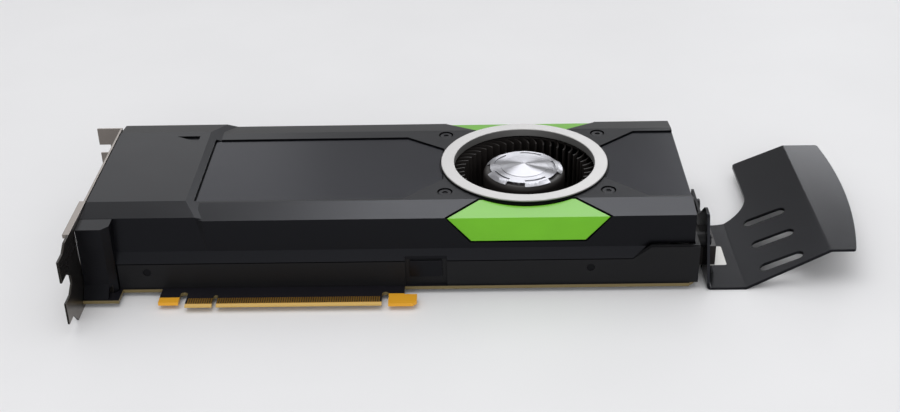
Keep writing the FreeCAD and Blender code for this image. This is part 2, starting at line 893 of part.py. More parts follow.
def io_bracket():
    top_y = size.tongue_tip + size.bracket_high
    low = -size.bracket_under
    body = new_body("bracket_plate")
    outline = sketch(body, "bracket_outline", "YZ_Plane", BRACKET_OUTER)
    corners = [(top_y, rise(size.bracket_top))]
    for slot, over, under in ((1, size.bracket_top, size.shoulder_high), (0, size.shoulder_low, low)):
        tongue = size.tongue_low + slot * size.slot_pitch
        corners += [
            (size.bracket_shoulder, rise(over)),
            (size.tongue_neck, rise(tongue + size.tongue_wide)),
            (size.tongue_tip, rise(tongue + size.tongue_wide)),
            (size.tongue_tip, rise(tongue)),
            (size.tongue_neck, rise(tongue)),
            (size.bracket_shoulder, rise(under)),
        ]
    corners.append((top_y, rise(low)))
    polygon(outline, corners)
    pad(body, outline, "bracket_pad", size.bracket_thick)
    flange = box("bracket_flange", (BRACKET_OUTER - size.flange_deep, BRACKET_INNER),
                 (top_y - size.bracket_thick, top_y), (rise(low), rise(size.bracket_top)))
    tools = []
    for slot in (0, 1):
        middle = rise(size.notch_rise + slot * size.slot_pitch)
        tools.append(box("screw_notch", (BRACKET_OUTER - size.flange_deep, BRACKET_OUTER - size.notch_deep),
                         (top_y - size.bracket_thick * 2, top_y + size.bracket_thick),
                         (middle - size.notch_wide / 2, middle + size.notch_wide / 2)))
    through = (BRACKET_OUTER - size.bracket_thick, BRACKET_INNER + size.bracket_thick)
    for index in range(int(SIZES["vent_count"])):
        start = size.vent_start + index * size.vent_pitch
        tools.append(box("vent", through, (start, start + size.vent_wide),
                         (rise(size.vent_low), rise(size.vent_high))))
    gap = size.socket_gap
    for y in port_spots():
        half = size.port_wide / 2 + gap
        tools.append(box("port_opening", through, (y - half, y + half),
                         (rise(-gap), rise(size.port_high + gap))))
    half = size.dvi_wide / 2 + gap
    tools.append(box("dvi_opening", through, (DVI_Y - half, DVI_Y + half),
                     (rise(size.dvi_rise - gap), rise(size.dvi_rise + size.dvi_high + gap))))
    for y, z in jack_spots():
        tools.append(cylinder("jack_opening", BRACKET_OUTER - size.bracket_thick, y, z,
                              size.jack_hole + size.screw_clear, size.bracket_thick * 3, "x"))
    lip = box("bracket_lip", (BRACKET_OUTER - size.lip_deep, BRACKET_OUTER),
              (size.lip_low, size.lip_low + size.lip_long),
              (rise(size.bracket_top - size.lip_high), rise(size.bracket_top)))
    return cut("io_bracket", fuse("bracket_blank", [body, flange, lip]), tools)


# Base frame of the cooler

def frame_side(label, y_low, y_high, drop=0):
    """A layer of a long side wall, whose upper edge jogs up towards the tail."""
    body = new_body(label)
    side = sketch(body, label + "_outline", "XZ_Plane", -y_high)
    polygon(side, [
        (size.frame_start, rise(0)),
        (FRAME_TAIL, rise(0)),
        (FRAME_TAIL, rise(size.tail_rise - drop)),
        (JOG_END, rise(size.tail_rise - drop)),
        (JOG_START, rise(size.parting_rise - drop)),
        (size.frame_start, rise(size.parting_rise - drop)),
    ])
    pad(body, side, label + "_pad", y_high - y_low)
    return body


def side_screw_spots():
    for x in (size.side_screw_left, size.side_screw_right):
        yield x, size.frame_front, 1
        yield x, size.frame_rear, -1


def scroll_wall():
    """Half round wall that turns the blower's air towards the fins, with room for the shroud's bosses."""
    radius = size.scroll_radius
    high = size.scroll_rise - PLATE_TOP
    outer = cylinder("scroll_outer", size.fan_x, size.fan_y, rise(PLATE_TOP), radius + size.scroll_wall, high)
    inner = cylinder("scroll_inner", size.fan_x, size.fan_y, rise(PLATE_TOP), radius, high)
    reach = radius + size.scroll_wall * 2
    half = box("scroll_half", (size.fan_x - reach, size.fan_x), (size.fan_y - reach, size.fan_y + reach),
               (rise(PLATE_TOP), rise(size.scroll_rise)))
    tools = [inner, half]
    for x, y in shroud_screw_spots():
        tools.append(cylinder("boss_room", x, y, rise(size.boss_low - size.panel_gap),
                              size.boss_radius + size.panel_gap, size.scroll_rise))
    return cut("scroll_wall", outer, tools)


def base_frame():
    inner_front = size.frame_front + size.frame_wall
    inner_rear = size.frame_rear - size.frame_wall
    groove_front = size.frame_front + size.groove_deep
    groove_rear = size.frame_rear - size.groove_deep
    tail_inner = FRAME_TAIL - size.frame_wall
    pieces = [
        frame_side("frame_front_skin", size.frame_front, groove_front, size.parting_gap),
        frame_side("frame_front_side", groove_front, inner_front),
        frame_side("frame_rear_side", inner_rear, groove_rear),
        frame_side("frame_rear_skin", groove_rear, size.frame_rear, size.parting_gap),
        box("frame_tail_wall", (tail_inner, FRAME_TAIL), (inner_front, inner_rear),
            (rise(0), rise(size.tail_rise))),
        box("frame_plate", (size.fin_start, tail_inner), (inner_front, inner_rear),
            (rise(size.plate_rise), rise(PLATE_TOP))),
        scroll_wall(),
    ]
    for x, y in frame_screw_spots():
        pieces.append(cylinder("frame_boss", x, y, rise(0), size.boss_radius - size.shank_radius, PLATE_TOP))
    boss_start = FRAME_TAIL
    boss_long = FLANGE_FACE - size.sheet_thick - FRAME_TAIL
    for y in (size.extender_screw_low, size.extender_screw_high):
        pieces.append(cylinder("extender_boss", boss_start, y, rise(size.extender_screw_rise),
                               size.extender_boss, boss_long, "x"))
    margin = size.panel_gap
    chamber_x = size.chamber_long / 2 + margin
    chamber_y = size.chamber_wide / 2 + margin
    row = size.inductor_pitch * 2 + size.inductor_side
    row_reach = size.inductor_side / 2 + margin
    tools = [
        box("chamber_window", (size.gpu_x - chamber_x, size.gpu_x + chamber_x),
            (size.gpu_y - chamber_y, size.gpu_y + chamber_y), (rise(0), rise(size.parting_rise))),
        box("power_window", (size.power_row_x - row_reach, size.power_row_x + row_reach),
            (size.gpu_y - row, size.gpu_y + row), (rise(0), rise(PLATE_TOP * 2))),
        box("can_window", (CAN_X - size.can_radius - margin, tail_inner - margin),
            (inner_front + size.boss_radius * 2, inner_rear - size.boss_radius * 3),
            (rise(0), rise(PLATE_TOP + margin))),
        box("inlet_opening", (INLET_TIP - size.inlet_deep - margin, INLET_TIP),
            (size.inlet_low - margin, size.inlet_low + size.inlet_wide + margin),
            (rise(0), rise(size.inlet_high + margin))),
        box("side_recess", (size.recess_start, size.recess_start + size.recess_long),
            (size.frame_front - size.recess_deep, size.frame_front + size.recess_deep),
            (rise(0), rise(size.recess_top))),
    ]
    for x, y, way in side_screw_spots():
        start = y if way > 0 else y - size.side_bore_deep
        tools.append(cylinder("side_bore", x, start, rise(size.side_screw_rise),
                              size.side_head + size.screw_clear, size.side_bore_deep, "y"))
        start = y if way > 0 else y - size.side_shank_long * 2
        tools.append(cylinder("side_hole", x, start, rise(size.side_screw_rise),
                              size.side_shank + size.screw_clear, size.side_shank_long * 2, "y"))
    for x, y in frame_screw_spots():
        tools.append(cylinder("frame_hole", x, y, rise(0), size.shank_radius + size.screw_clear,
                              size.shank_long))
    for y in (size.extender_screw_low, size.extender_screw_high):
        tools.append(cylinder("extender_hole", tail_inner, y, rise(size.extender_screw_rise),
                              size.extender_shank + size.screw_clear, boss_long + size.frame_wall, "x"))
    return cut("base_frame", fuse("frame_blank", pieces), tools)


def side_cover():
    start = size.recess_start + size.cover_margin
    floor_y = size.frame_front + size.recess_deep
    return box("side_cover", (start, size.recess_start + size.recess_long - size.cover_margin),
               (floor_y - size.cover_thick, floor_y), (rise(size.cover_low), rise(size.cover_high)))


def side_screws():
    screws = []
    for x, y, way in side_screw_spots():
        seat = y + way * size.side_bore_deep
        head_start = seat - size.side_head_high if way > 0 else seat
        shank_start = seat if way > 0 else seat - size.side_shank_long
        head = cylinder("side_head", x, head_start, rise(size.side_screw_rise), size.side_head,
                        size.side_head_high, "y")
        shank = cylinder("side_shank", x, shank_start, rise(size.side_screw_rise), size.side_shank,
                         size.side_shank_long, "y")
        screws.append(fuse("side_screw", [head, shank]))
    return group("side_screws", screws)


# Heat sink

def vapor_chamber():
    blank = on_board("chamber_blank", size.gpu_x, size.gpu_y, size.chamber_long, size.chamber_wide,
                     size.chamber_thick, DIE_TOP)
    bosses = [cylinder("chamber_boss", x, y, rise(0), size.spring_head, DIE_TOP + size.chamber_thick / 2)
              for x, y in spring_spots()]
    holes = [cylinder("chamber_hole", x, y, rise(0), size.spring_radius, DIE_TOP + size.chamber_thick / 2)
             for x, y in spring_spots()]
    return cut("vapor_chamber", fuse("chamber_solid", [blank] + bosses), holes)


def fin_stack():
    body = new_body("fin_stack")
    floor = sketch(body, "fin_floor_outline", "XY_Plane", rise(FIN_BASE))
    polygon(floor, [
        (size.fin_start, size.fin_front),
        (size.fin_end, size.fin_front),
        (size.fin_end, size.fin_rear),
        (size.fin_start, size.fin_rear),
    ])
    pad(body, floor, "fin_floor_pad", size.fin_floor)
    fin = sketch(body, "fin_outline", "XY_Plane", rise(FIN_BASE))
    polygon(fin, [
        (size.fin_start, size.fin_front),
        (size.fin_end, size.fin_front),
        (size.fin_end, size.fin_front + size.fin_thick),
        (size.fin_start, size.fin_front + size.fin_thick),
    ])
    first = pad(body, fin, "fin_pad", size.fin_top - FIN_BASE)
    pattern = body.newObject("PartDesign::LinearPattern", "fin_row")
    pattern.Originals = [first]
    pattern.Direction = (fin, ["V_Axis"])
    bind(pattern, Length=size.fin_rear - size.fin_front - size.fin_thick, Occurrences=size.fin_count)
    body.Tip = pattern
    return body


def back_brace():
    """X-shaped spring plate under the board that pulls the heat sink onto the chip."""
    body = new_body("back_brace")
    outline = sketch(body, "brace_outline", "XY_Plane", BOARD_UNDER - size.brace_thick)
    reach = size.spring_away + size.brace_arm / 2
    arm = reach - size.brace_arm
    x, y, waist = size.gpu_x, size.gpu_y, size.brace_arm
    polygon(outline, [
        (x + waist, y),
        (x + reach, y + arm),
        (x + reach, y + reach),
        (x + arm, y + reach),
        (x, y + waist),
        (x - arm, y + reach),
        (x - reach, y + reach),
        (x - reach, y + arm),
        (x - waist, y),
        (x - reach, y - arm),
        (x - reach, y - reach),
        (x - arm, y - reach),
        (x, y - waist),
        (x + arm, y - reach),
        (x + reach, y - reach),
        (x + reach, y - arm),
    ])
    pad(body, outline, "brace_pad", size.brace_thick)
    holes = sketch(body, "brace_holes", "XY_Plane", 0)
    for spot_x, spot_y in spring_spots():
        circle(holes, spot_x, spot_y, size.spring_hole)
    pocket(body, holes, "brace_hole_cut", size.board_thick + size.brace_thick)
    return body


def spring_screws():
    screws = []
    low = BOARD_UNDER - size.brace_thick
    for x, y in spring_spots():
        head = cylinder("spring_head", x, y, low - size.spring_head_high, size.spring_head,
                        size.spring_head_high)
        shank = cylinder("spring_shank", x, y, low, size.spring_radius,
                         size.brace_thick + size.board_thick + DIE_TOP + size.chamber_thick / 2)
        screws.append(fuse("spring_screw", [head, shank]))
    return group("spring_screws", screws)


def frame_screws():
    screws = []
    for x, y in frame_screw_spots():
        head = cylinder("frame_head", x, y, BOARD_UNDER - size.head_high, size.frame_screw_head,
                        size.head_high)
        shank = cylinder("frame_shank", x, y, BOARD_UNDER, size.shank_radius, size.shank_long)
        screws.append(fuse("frame_screw", [head, shank]))
    return group("frame_screws", screws)


# Shroud

def shroud_screw_spots():
    for way in (-1, 1):
        for end in (-1, 1):
            yield (size.fan_x + way * size.screw_away_x,
                   size.fan_y + size.screw_shift + end * size.screw_away_y)


def window_corners(gap=0):
    """Plan of the long panel, which ends in a nose under the fan's ring."""
    nose = size.fan_x - size.ring_outer + size.window_tuck
    shoulder = nose - size.window_nose_long
    return [
        (size.window_start - gap, size.panel_front - gap),
        (shoulder, size.panel_front - gap),
        (nose + gap, size.fan_y - size.nose_half),
        (nose + gap, size.fan_y + size.nose_half),
        (shoulder, size.window_rear + gap),
        (size.window_start - gap, size.window_rear + gap),
    ]


def tail_panel_corners(gap=0):
    """Plan of the tail panel, which ends in a nose under the fan's ring."""
    nose = size.fan_x + size.ring_outer - size.tail_panel_tuck
    shoulder = nose + size.tail_panel_nose_long
    return [
        (SHROUD_TAIL, size.panel_front - gap),
        (SHROUD_TAIL, size.tail_panel_rear + gap),
        (shoulder, size.tail_panel_rear + gap),
        (nose - gap, size.fan_y + size.nose_half),
        (nose - gap, size.fan_y - size.nose_half),
        (shoulder, size.panel_front - gap),
    ]


def panel(label, corners):
    body = new_body(label)
    top = size.top_rise - size.panel_sunk
    outline = sketch(body, label + "_outline", "XY_Plane", rise(top - size.panel_thick))
    polygon(outline, corners)
    pad(body, outline, label + "_pad", size.panel_thick)
    keep = sketch(body, label + "_fan_edge", "XY_Plane", rise(size.top_rise))
    circle(keep, size.fan_x, size.fan_y, size.ring_outer + size.panel_gap)
    pocket(body, keep, label + "_fan_cut", size.panel_thick * 4)
    return body


ACCENT_SIDES = {
    "front": (size.upper_front, size.eave_front, size.crease_front, 1),
    "rear": (size.upper_rear, size.eave_rear, size.crease_rear, -1),
}


def accent(label, side, gap=0):
    """Bent plate over one eave, with slanted ends. A gap widens it into the recess that takes it."""
    wall_y, eave, crease_y, way = ACCENT_SIDES[side]
    thick = size.accent_thick
    lift = -size.accent_sunk if label in ("accent_front", "accent_rear") else gap
    body = new_body(label)
    start = size.fan_x - size.accent_eave_half - gap
    section = sketch(body, label + "_section", "YZ_Plane", start)
    outer = wall_y - way * lift
    inner = wall_y + way * thick
    polygon(section, [
        (outer, rise(size.accent_foot - gap)),
        (outer, rise(eave + lift)),
        (crease_y + way * gap, rise(size.top_rise + lift)),
        (crease_y + way * gap, rise(size.top_rise - thick)),
        (inner, rise(eave - thick)),
        (inner, rise(size.accent_foot - gap)),
    ])
    pad(body, section, label + "_pad", (size.accent_eave_half + gap) * 2)
    for hand in (-1, 1):
        eave_x = size.fan_x + hand * (size.accent_eave_half + gap)
        top_x = size.fan_x + hand * (size.accent_top_half + gap)
        foot_x = size.fan_x + hand * (size.accent_foot_half + gap)
        plan = sketch(body, f"{label}_plan_{hand}", "XY_Plane", rise(size.ring_top * 2))
        polygon(plan, [(eave_x, wall_y + way * gap), (top_x, crease_y + way * gap),
                       (eave_x, crease_y + way * gap * 2)])
        pocket(body, plan, f"{label}_plan_cut_{hand}", size.ring_top * 2)
        face = sketch(body, f"{label}_face_{hand}", "XZ_Plane", -wall_y + thick * 2)
        polygon(face, [(eave_x, rise(eave)), (foot_x, rise(size.accent_foot - gap)),
                       (eave_x, rise(size.accent_foot - gap * 2))])
        pocket(body, face, f"{label}_face_cut_{hand}", thick * 4)
    fan = sketch(body, label + "_fan_edge", "XY_Plane", rise(size.ring_top))
    circle(fan, size.fan_x, size.fan_y, size.ring_outer + size.accent_fan_gap - gap)
    pocket(body, fan, label + "_fan_cut", size.ring_top - size.accent_foot)
    return body


def shroud_section(start_y, end_y, front_eave, rear_eave, top, wall=0):
    """Cross-section of the shroud from its parting line over the top, or its hollow if wall is given."""
    return [
        (size.frame_front + wall, rise(size.parting_rise)),
        (size.upper_front + wall, rise(size.ledge_rise)),
        (start_y + wall, rise(front_eave - wall)),
        (size.crease_front, rise(top - wall)),
        (size.crease_rear, rise(top - wall)),
        (end_y - wall, rise(rear_eave - wall)),
        (size.upper_rear - wall, rise(size.ledge_rise)),
        (size.frame_rear - wall, rise(size.parting_rise)),
    ]


def shroud_body():
    body = new_body("shroud_body")
    wall = size.shroud_wall
    block = sketch(body, "block_section", "YZ_Plane", size.shroud_start)
    polygon(block, shroud_section(size.block_front, size.upper_rear, size.block_rise - size.block_drop,
                                  size.block_rise - size.block_drop, size.block_rise))
    pad(body, block, "block_pad", size.block_end - size.shroud_start + size.facet_run * 3)
    facet = sketch(body, "block_facet", "XZ_Plane", 0)
    high = size.block_rise + size.facet_drop
    polygon(facet, [
        (size.block_end - size.facet_run, rise(high)),
        (size.block_end + size.block_rise * FACET_LEAN, rise(0)),
        (size.block_end + high * FACET_LEAN, rise(high)),
    ])
    pocket(body, facet, "block_facet_cut", RIGHT_THROUGH)
    main = sketch(body, "shroud_outline", "YZ_Plane", MAIN_START)
    polygon(main, shroud_section(size.upper_front, size.upper_rear, size.eave_front, size.eave_rear,
                                 size.top_rise))
    pad(body, main, "shroud_pad", SHROUD_TAIL - MAIN_START)
    post = sketch(body, "post_section", "YZ_Plane", size.shroud_start)
    polygon(post, [
        (size.post_foot, rise(0)),
        (size.post_foot, rise(size.post_foot_rise)),
        (size.post_front, rise(size.post_flare)),
        (size.post_front, rise(size.post_rise - size.post_slope)),
        (size.block_front, rise(size.post_rise)),
        (size.block_front + wall, rise(size.post_rise)),
        (size.block_front + wall, rise(0)),
    ])
    pad(body, post, "post_pad", size.post_end - size.shroud_start)
    corner = sketch(body, "post_corner", "XY_Plane", rise(size.block_rise * 2))
    polygon(corner, [
        (size.post_end - size.post_corner, size.post_foot),
        (size.post_end - size.post_corner, size.post_front),
        (size.post_end, size.post_front + size.post_corner),
        (size.post_end + size.post_corner, size.post_foot),
    ])
    pocket(body, corner, "post_corner_cut", size.block_rise * 2)
    hollow = sketch(body, "shroud_hollow", "YZ_Plane", SHROUD_TAIL - wall)
    hollow_front = (size.upper_front + size.block_front) / 2
    polygon(hollow, shroud_section(hollow_front, size.upper_rear, size.eave_front, size.eave_rear,
                                   size.top_rise, wall))
    pocket(body, hollow, "shroud_hollow_cut", SHROUD_TAIL - wall - size.shroud_start)
    post_hollow = sketch(body, "post_hollow", "YZ_Plane", size.post_end - size.post_wall)
    wall = size.post_wall
    polygon(post_hollow, [
        (size.post_foot + wall, rise(0)),
        (size.post_front + wall, rise(size.post_flare)),
        (size.post_front + wall, rise(size.eave_front - size.shroud_wall)),
        (size.block_front + size.shroud_wall, rise(size.eave_front - size.shroud_wall)),
        (size.block_front + size.shroud_wall, rise(0)),
    ])
    pocket(body, post_hollow, "post_hollow_cut", size.post_end - wall - size.shroud_start)
    jog = sketch(body, "tail_jog", "XZ_Plane", 0)
    polygon(jog, [
        (JOG_START, rise(0)),
        (JOG_START, rise(size.parting_rise)),
        (JOG_END, rise(size.tail_rise)),
        (SHROUD_TAIL * 2, rise(size.tail_rise)),
        (SHROUD_TAIL * 2, rise(0)),
    ])
    pocket(body, jog, "tail_jog_cut", RIGHT_THROUGH)
    return body


def eave_corner():
    """What is taken off the shroud's front where its wall steps back to the leaning wall of the block."""
    out = size.upper_front - size.shroud_wall
    above = rise(size.block_rise)
    leaning = new_body("leaning_wall")
    side = sketch(leaning, "leaning_outline", "YZ_Plane", MAIN_START)
    polygon(side, [
        (out, rise(size.ledge_rise)),
        (size.upper_front, rise(size.ledge_rise)),
        (size.block_front, rise(size.block_rise - size.block_drop)),
        (size.block_front, above),
        (out, above),
    ])
    pad(leaning, side, "leaning_pad", EAVE_START - MAIN_START)
    slanted = new_body("slanted_wall")
    plan = sketch(slanted, "slanted_outline", "XY_Plane", rise(size.ledge_rise))
    polygon(plan, [
        (MAIN_START, out),
        (EAVE_START, out),
        (EAVE_START, size.upper_front),
        (MAIN_START, size.block_front),
    ])
    pad(slanted, plan, "slanted_pad", size.block_rise - size.ledge_rise)
    return common("eave_corner", leaning, slanted)


def shroud_cover():
    base = shroud_body()
    collar_low = rise(size.collar_low)
    collar_top = size.ring_top - size.ring_thick
    collar = cylinder("fan_collar", size.fan_x, size.fan_y, collar_low, size.ring_outer - size.collar_step,
                      rise(collar_top) - collar_low)
    boss_high = size.top_rise - size.boss_low - size.bore_deep
    bosses = [cylinder("screw_boss", x, y, rise(size.boss_low), size.boss_radius, boss_high)
              for x, y in shroud_screw_spots()]
    tools = [
        cylinder("fan_bore", size.fan_x, size.fan_y, rise(size.boss_low),
                 size.ring_inner + size.skirt_thick + size.screw_clear, size.ring_top),
        accent("accent_front_recess", "front", size.accent_gap),
        accent("accent_rear_recess", "rear", size.accent_gap),
        panel_recess("window_recess", window_corners(size.panel_gap)),
        panel_recess("tail_recess", tail_panel_corners(size.panel_gap)),
        triangle_pocket(),
        eave_corner(),
        box("side_recess_upper", (size.recess_start, size.recess_start + size.recess_long),
            (size.frame_front - size.recess_deep, size.frame_front + size.recess_deep),
            (rise(0), rise(size.recess_top))),
    ]
    for x, y in shroud_screw_spots():
        tools.append(cylinder("screw_bore", x, y, rise(size.top_rise - size.bore_deep), size.bore_radius,
                              size.bore_deep * 2))
        tools.append(cylinder("screw_hole", x, y, rise(size.boss_low), size.shank_radius + size.screw_clear,
                              size.top_rise - size.boss_low))
    return cut("shroud_cover", fuse("shroud_solid", [base, collar] + bosses), tools)


def panel_recess(label, corners):
    body = new_body(label)
    deep = size.panel_sunk + size.panel_thick
    outline = sketch(body, label + "_outline", "XY_Plane", rise(size.top_rise - deep))
    polygon(outline, corners)
    pad(body, outline, label + "_pad", size.block_rise - size.top_rise + deep * 2)
    keep = sketch(body, label + "_keep", "XY_Plane", rise(size.ring_top * 2))
    circle(keep, size.fan_x, size.fan_y, size.ring_outer)
    pocket(body, keep, label + "_keep_cut", size.ring_top * 2)
    return body


def triangle_pocket():
    body = new_body("triangle_pocket")
    outline = sketch(body, "triangle_outline", "XY_Plane", rise(size.block_rise - size.pocket_deep))
    polygon(outline, [
        (size.pocket_start, size.pocket_high),
        (size.pocket_end, size.pocket_low),
        (size.pocket_end, size.pocket_high),
    ])
    pad(body, outline, "triangle_pad", size.pocket_deep * 2)
    return body


def fan_ring():
    """A flat ring with a skirt that lines the opening of the shroud."""
    low = rise(size.ring_top - size.ring_thick)
    skirt_low = low - size.skirt_deep
    outer = cylinder("ring_outer", size.fan_x, size.fan_y, low, size.ring_outer, size.ring_thick)
    skirt = cylinder("ring_skirt", size.fan_x, size.fan_y, skirt_low, size.ring_inner + size.skirt_thick,
                     size.skirt_deep)
    hole = cylinder("ring_hole", size.fan_x, size.fan_y, skirt_low, size.ring_inner,
                    size.skirt_deep + size.ring_thick)
    return cut("fan_ring", fuse("ring_solid", [outer, skirt]), [hole])


def shroud_screws():
    screws = []
    seat = rise(size.top_rise - size.bore_deep)
    for x, y in shroud_screw_spots():
        head = cylinder("screw_head", x, y, seat, size.head_radius, size.head_high)
        shank = cylinder("screw_shank", x, y, seat - size.shank_long, size.shank_radius, size.shank_long)
        key = hexagon("screw_key", x, y, seat + size.head_high - size.hex_deep, size.hex_radius,
                      size.hex_deep)
        screws.append(cut("shroud_screw", fuse("screw_blank", [head, shank]), [key]))
    return group("shroud_screws", screws)


# Blower

def at_fan(body):
    place(body, size.fan_x, size.fan_y, 0)
    return body


def turned(label, corners):
    """A solid turned about the fan's axis from half sections given as radius and height."""
    body = new_body(label)
    half = sketch(body, label + "_half", "XZ_Plane")
    polygon(half, corners)
    revolve(body, half, label + "_turn")
    return at_fan(body)


def revolve(body, half, name):
    made = body.newObject("PartDesign::Revolution", name)
    made.Profile = half
    made.ReferenceAxis = (half, ["V_Axis"])
    made.Angle = 360
    body.Tip = made


def fan_base():
    low = rise(PLATE_TOP)
    deck = rise(PLATE_TOP + size.motor_thick)
    return turned("fan_base", [
        (size.bearing_radius, low),
        (size.motor_radius, low),
        (size.motor_radius, deck),
        (size.sleeve_radius, deck),
        (size.sleeve_radius, rise(size.sleeve_top)),
        (size.bearing_radius, rise(size.sleeve_top)),
    ])


def tube(label, inner, outer, low, high):
    return turned(label, [(inner, rise(low)), (outer, rise(low)), (outer, rise(high)), (inner, rise(high))])


def fan_stator():
    body = new_body("fan_stator")
    core = sketch(body, "stator_core", "XY_Plane", rise(size.stator_low))
    circle(core, 0, 0, size.stator_root)
    circle(core, 0, 0, size.sleeve_radius)
    high = size.stator_high - size.stator_low
    pad(body, core, "stator_core_pad", high)
    tooth = sketch(body, "stator_tooth", "XY_Plane", rise(size.stator_low))
    inner = (size.stator_root + size.sleeve_radius) / 2
    tip = size.stator_radius
    half = size.tooth_wide / 2
    polygon(tooth, [
        (inner, -half),
        (tip - half, -half),
        (tip - half, -half * 2),
        (tip, -half * 2),
        (tip, half * 2),
        (tip - half, half * 2),
        (tip - half, half),
        (inner, half),
    ])
    first = pad(body, tooth, "stator_tooth_pad", high)
    return at_fan(ring_pattern(body, first, tooth, size.tooth_count, "stator_teeth"))


def ring_pattern(body, feature, profile, count, name):
    pattern = body.newObject("PartDesign::PolarPattern", name)
    pattern.Originals = [feature]
    pattern.Axis = (profile, ["N_Axis"])
    pattern.Angle = 360
    bind(pattern, Occurrences=count)
    body.Tip = pattern
    doc.recompute()
    return body


def fan_impeller():
    """Hub cup, base disc, one ring of forward-curved blades and the rim that ties their tips."""
    body = new_body("fan_impeller")
    half = sketch(body, "impeller_half", "XZ_Plane")
    inner = size.hub_radius - size.hub_wall
    roof = rise(size.hub_top - size.hub_roof)
    polygon(half, [
        (size.shaft_radius, rise(size.hub_boss_low)),
        (size.hub_boss, rise(size.hub_boss_low)),
        (size.hub_boss, roof),
        (inner, roof),
        (inner, rise(size.disc_low)),
        (size.blade_outer, rise(size.disc_low)),
        (size.blade_outer, rise(size.disc_low + size.disc_thick)),
        (size.hub_radius, rise(size.disc_low + size.disc_thick)),
        (size.hub_radius, rise(size.hub_top)),
        (size.shaft_radius, rise(size.hub_top)),
    ])
    revolve(body, half, "impeller_turn")
    doc.recompute()
    blade = sketch(body, "blade_outline", "XY_Plane", rise(size.disc_low))
    thick = size.blade_thick
    reach = size.blade_outer - size.rim_wide / 2
    tip = (reach * cosine(size.blade_sweep), reach * sine(size.blade_sweep))
    polygon(blade, [
        (size.blade_inner, 0),
        tip,
        (tip[0], tip[1] + thick),
        (size.blade_inner, thick),
    ], {0: size.blade_curve, 2: -size.blade_curve})
    first = pad(body, blade, "blade_pad", size.blade_top - size.disc_low)
    ring_pattern(body, first, blade, size.blade_count, "blade_ring")
    rim = sketch(body, "rim_outline", "XY_Plane", rise(size.blade_top - size.rim_high))
    circle(rim, 0, 0, size.blade_outer)
    circle(rim, 0, 0, size.blade_outer - size.rim_wide)
    pad(body, rim, "rim_pad", size.rim_high)
    return at_fan(body)


def hub_cap():
    """Low cone pressed from sheet, with a ring of slots and a sloping flap outside each slot."""
    low = rise(size.hub_top)
    edge = low + size.cap_edge
    cone = turned("cap_cone", [
        (0, low),
        (size.cap_flap_reach, low),
        (size.cap_radius, edge),
        (size.cap_inner, edge + size.cap_step),
        (size.cap_inner, edge + size.cap_step * 2),
        (0, edge + size.cap_cone),
    ])
    pitch = 360 / SIZES["cap_flap_count"]
    tools = []
    for turn in range(SIZES["cap_flap_count"]):
        middle = SIZES["cap_flap_angle"] + turn * pitch
        tools.append(cap_sector("cap_slot", middle, SIZES["cap_slot_angle"],
                                (size.cap_slot_inner, size.cap_slot_outer),
                                (edge - size.cap_slot_deep / 2, edge + size.cap_slot_deep)))
        tools.append(cap_sector("cap_gap", middle + pitch / 2, pitch - SIZES["cap_slot_angle"],
                                (size.cap_radius, size.hub_radius), (low, edge)))
    return cut("hub_cap", cone, tools)


def cap_sector(label, middle, span, radii, levels):
    """A sector of a tube about the fan's axis, its middle at the given angle, for a cut in the cap."""
    low, high = levels
    turn = FreeCAD.Rotation(FreeCAD.Vector(0, 0, 1), middle - span / 2)
    whole = []
    for name, radius in zip(("inner", "outer"), radii):
        piece = cylinder(f"{label}_{name}", size.fan_x, size.fan_y, low, radius, high - low)
        piece.Placement = FreeCAD.Placement(FreeCAD.Vector(), turn)
        place(piece, size.fan_x, size.fan_y, low)
        whole.append(piece)
    inner, outer = whole
    outer.Angle = span
    return cut(label, outer, [inner])


def rotor_magnet():
    outer = size.hub_radius - size.hub_wall
    return tube("rotor_magnet", outer - size.magnet_wall, outer, size.magnet_low, size.magnet_high)


def fan_shaft():
    return cylinder("fan_shaft", size.fan_x, size.fan_y, rise(size.shaft_low), size.shaft_radius,
                    size.hub_top - size.shaft_low)


# Rear extender

def extender_blank():
    """The bent sheet seen from its edge: flange, low panel, slope and raised panel."""
    thick = size.sheet_thick
    body = new_body("extender_sheet")
    section = sketch(body, "extender_section", "XZ_Plane", -size.extender_rear)
    floor = size.extender_floor
    top = floor + size.extender_climb
    outer = FLANGE_FACE
    slope = size.extender_climb / (BEND_LEVEL - BEND_UP)
    shift = thick * slope / 2
    polygon(section, [
        (outer - thick, floor),
        (BEND_UP + shift, floor),
        (BEND_LEVEL + shift, top),
        (EXTENDER_TIP, top),
        (EXTENDER_TIP, top + thick),
        (BEND_LEVEL - shift, top + thick),
        (BEND_UP - shift, floor + thick),
        (outer, floor + thick),
        (outer, rise(size.extender_flange_top)),
        (outer - thick, rise(size.extender_flange_top)),
    ])
    pad(body, section, "extender_pad", size.extender_rear - size.extender_front)
    hollow_sides = [
        (outer, floor + thick),
        (BEND_UP - shift, floor + thick),
        (BEND_LEVEL + shift, top),
    ]
    full_sides = [
        (outer - thick, floor),
        (BEND_UP + shift, floor),
        (BEND_LEVEL - shift, top + thick),
    ]
    inside = rounded("extender_inside_bends", body, size.extender_bend_round,
                     lambda edge, middle: bend_line(middle, hollow_sides))
    return rounded("extender_outside_bends", inside, size.extender_bend_round + thick,
                   lambda edge, middle: bend_line(middle, full_sides))


def bend_line(middle, spots):
    """Whether an edge is one of the bend lines that cross the given x, z spots."""
    return any(abs(middle.x - float(x)) < NEAR_ENOUGH and abs(middle.z - float(z)) < NEAR_ENOUGH
               for x, z in spots)


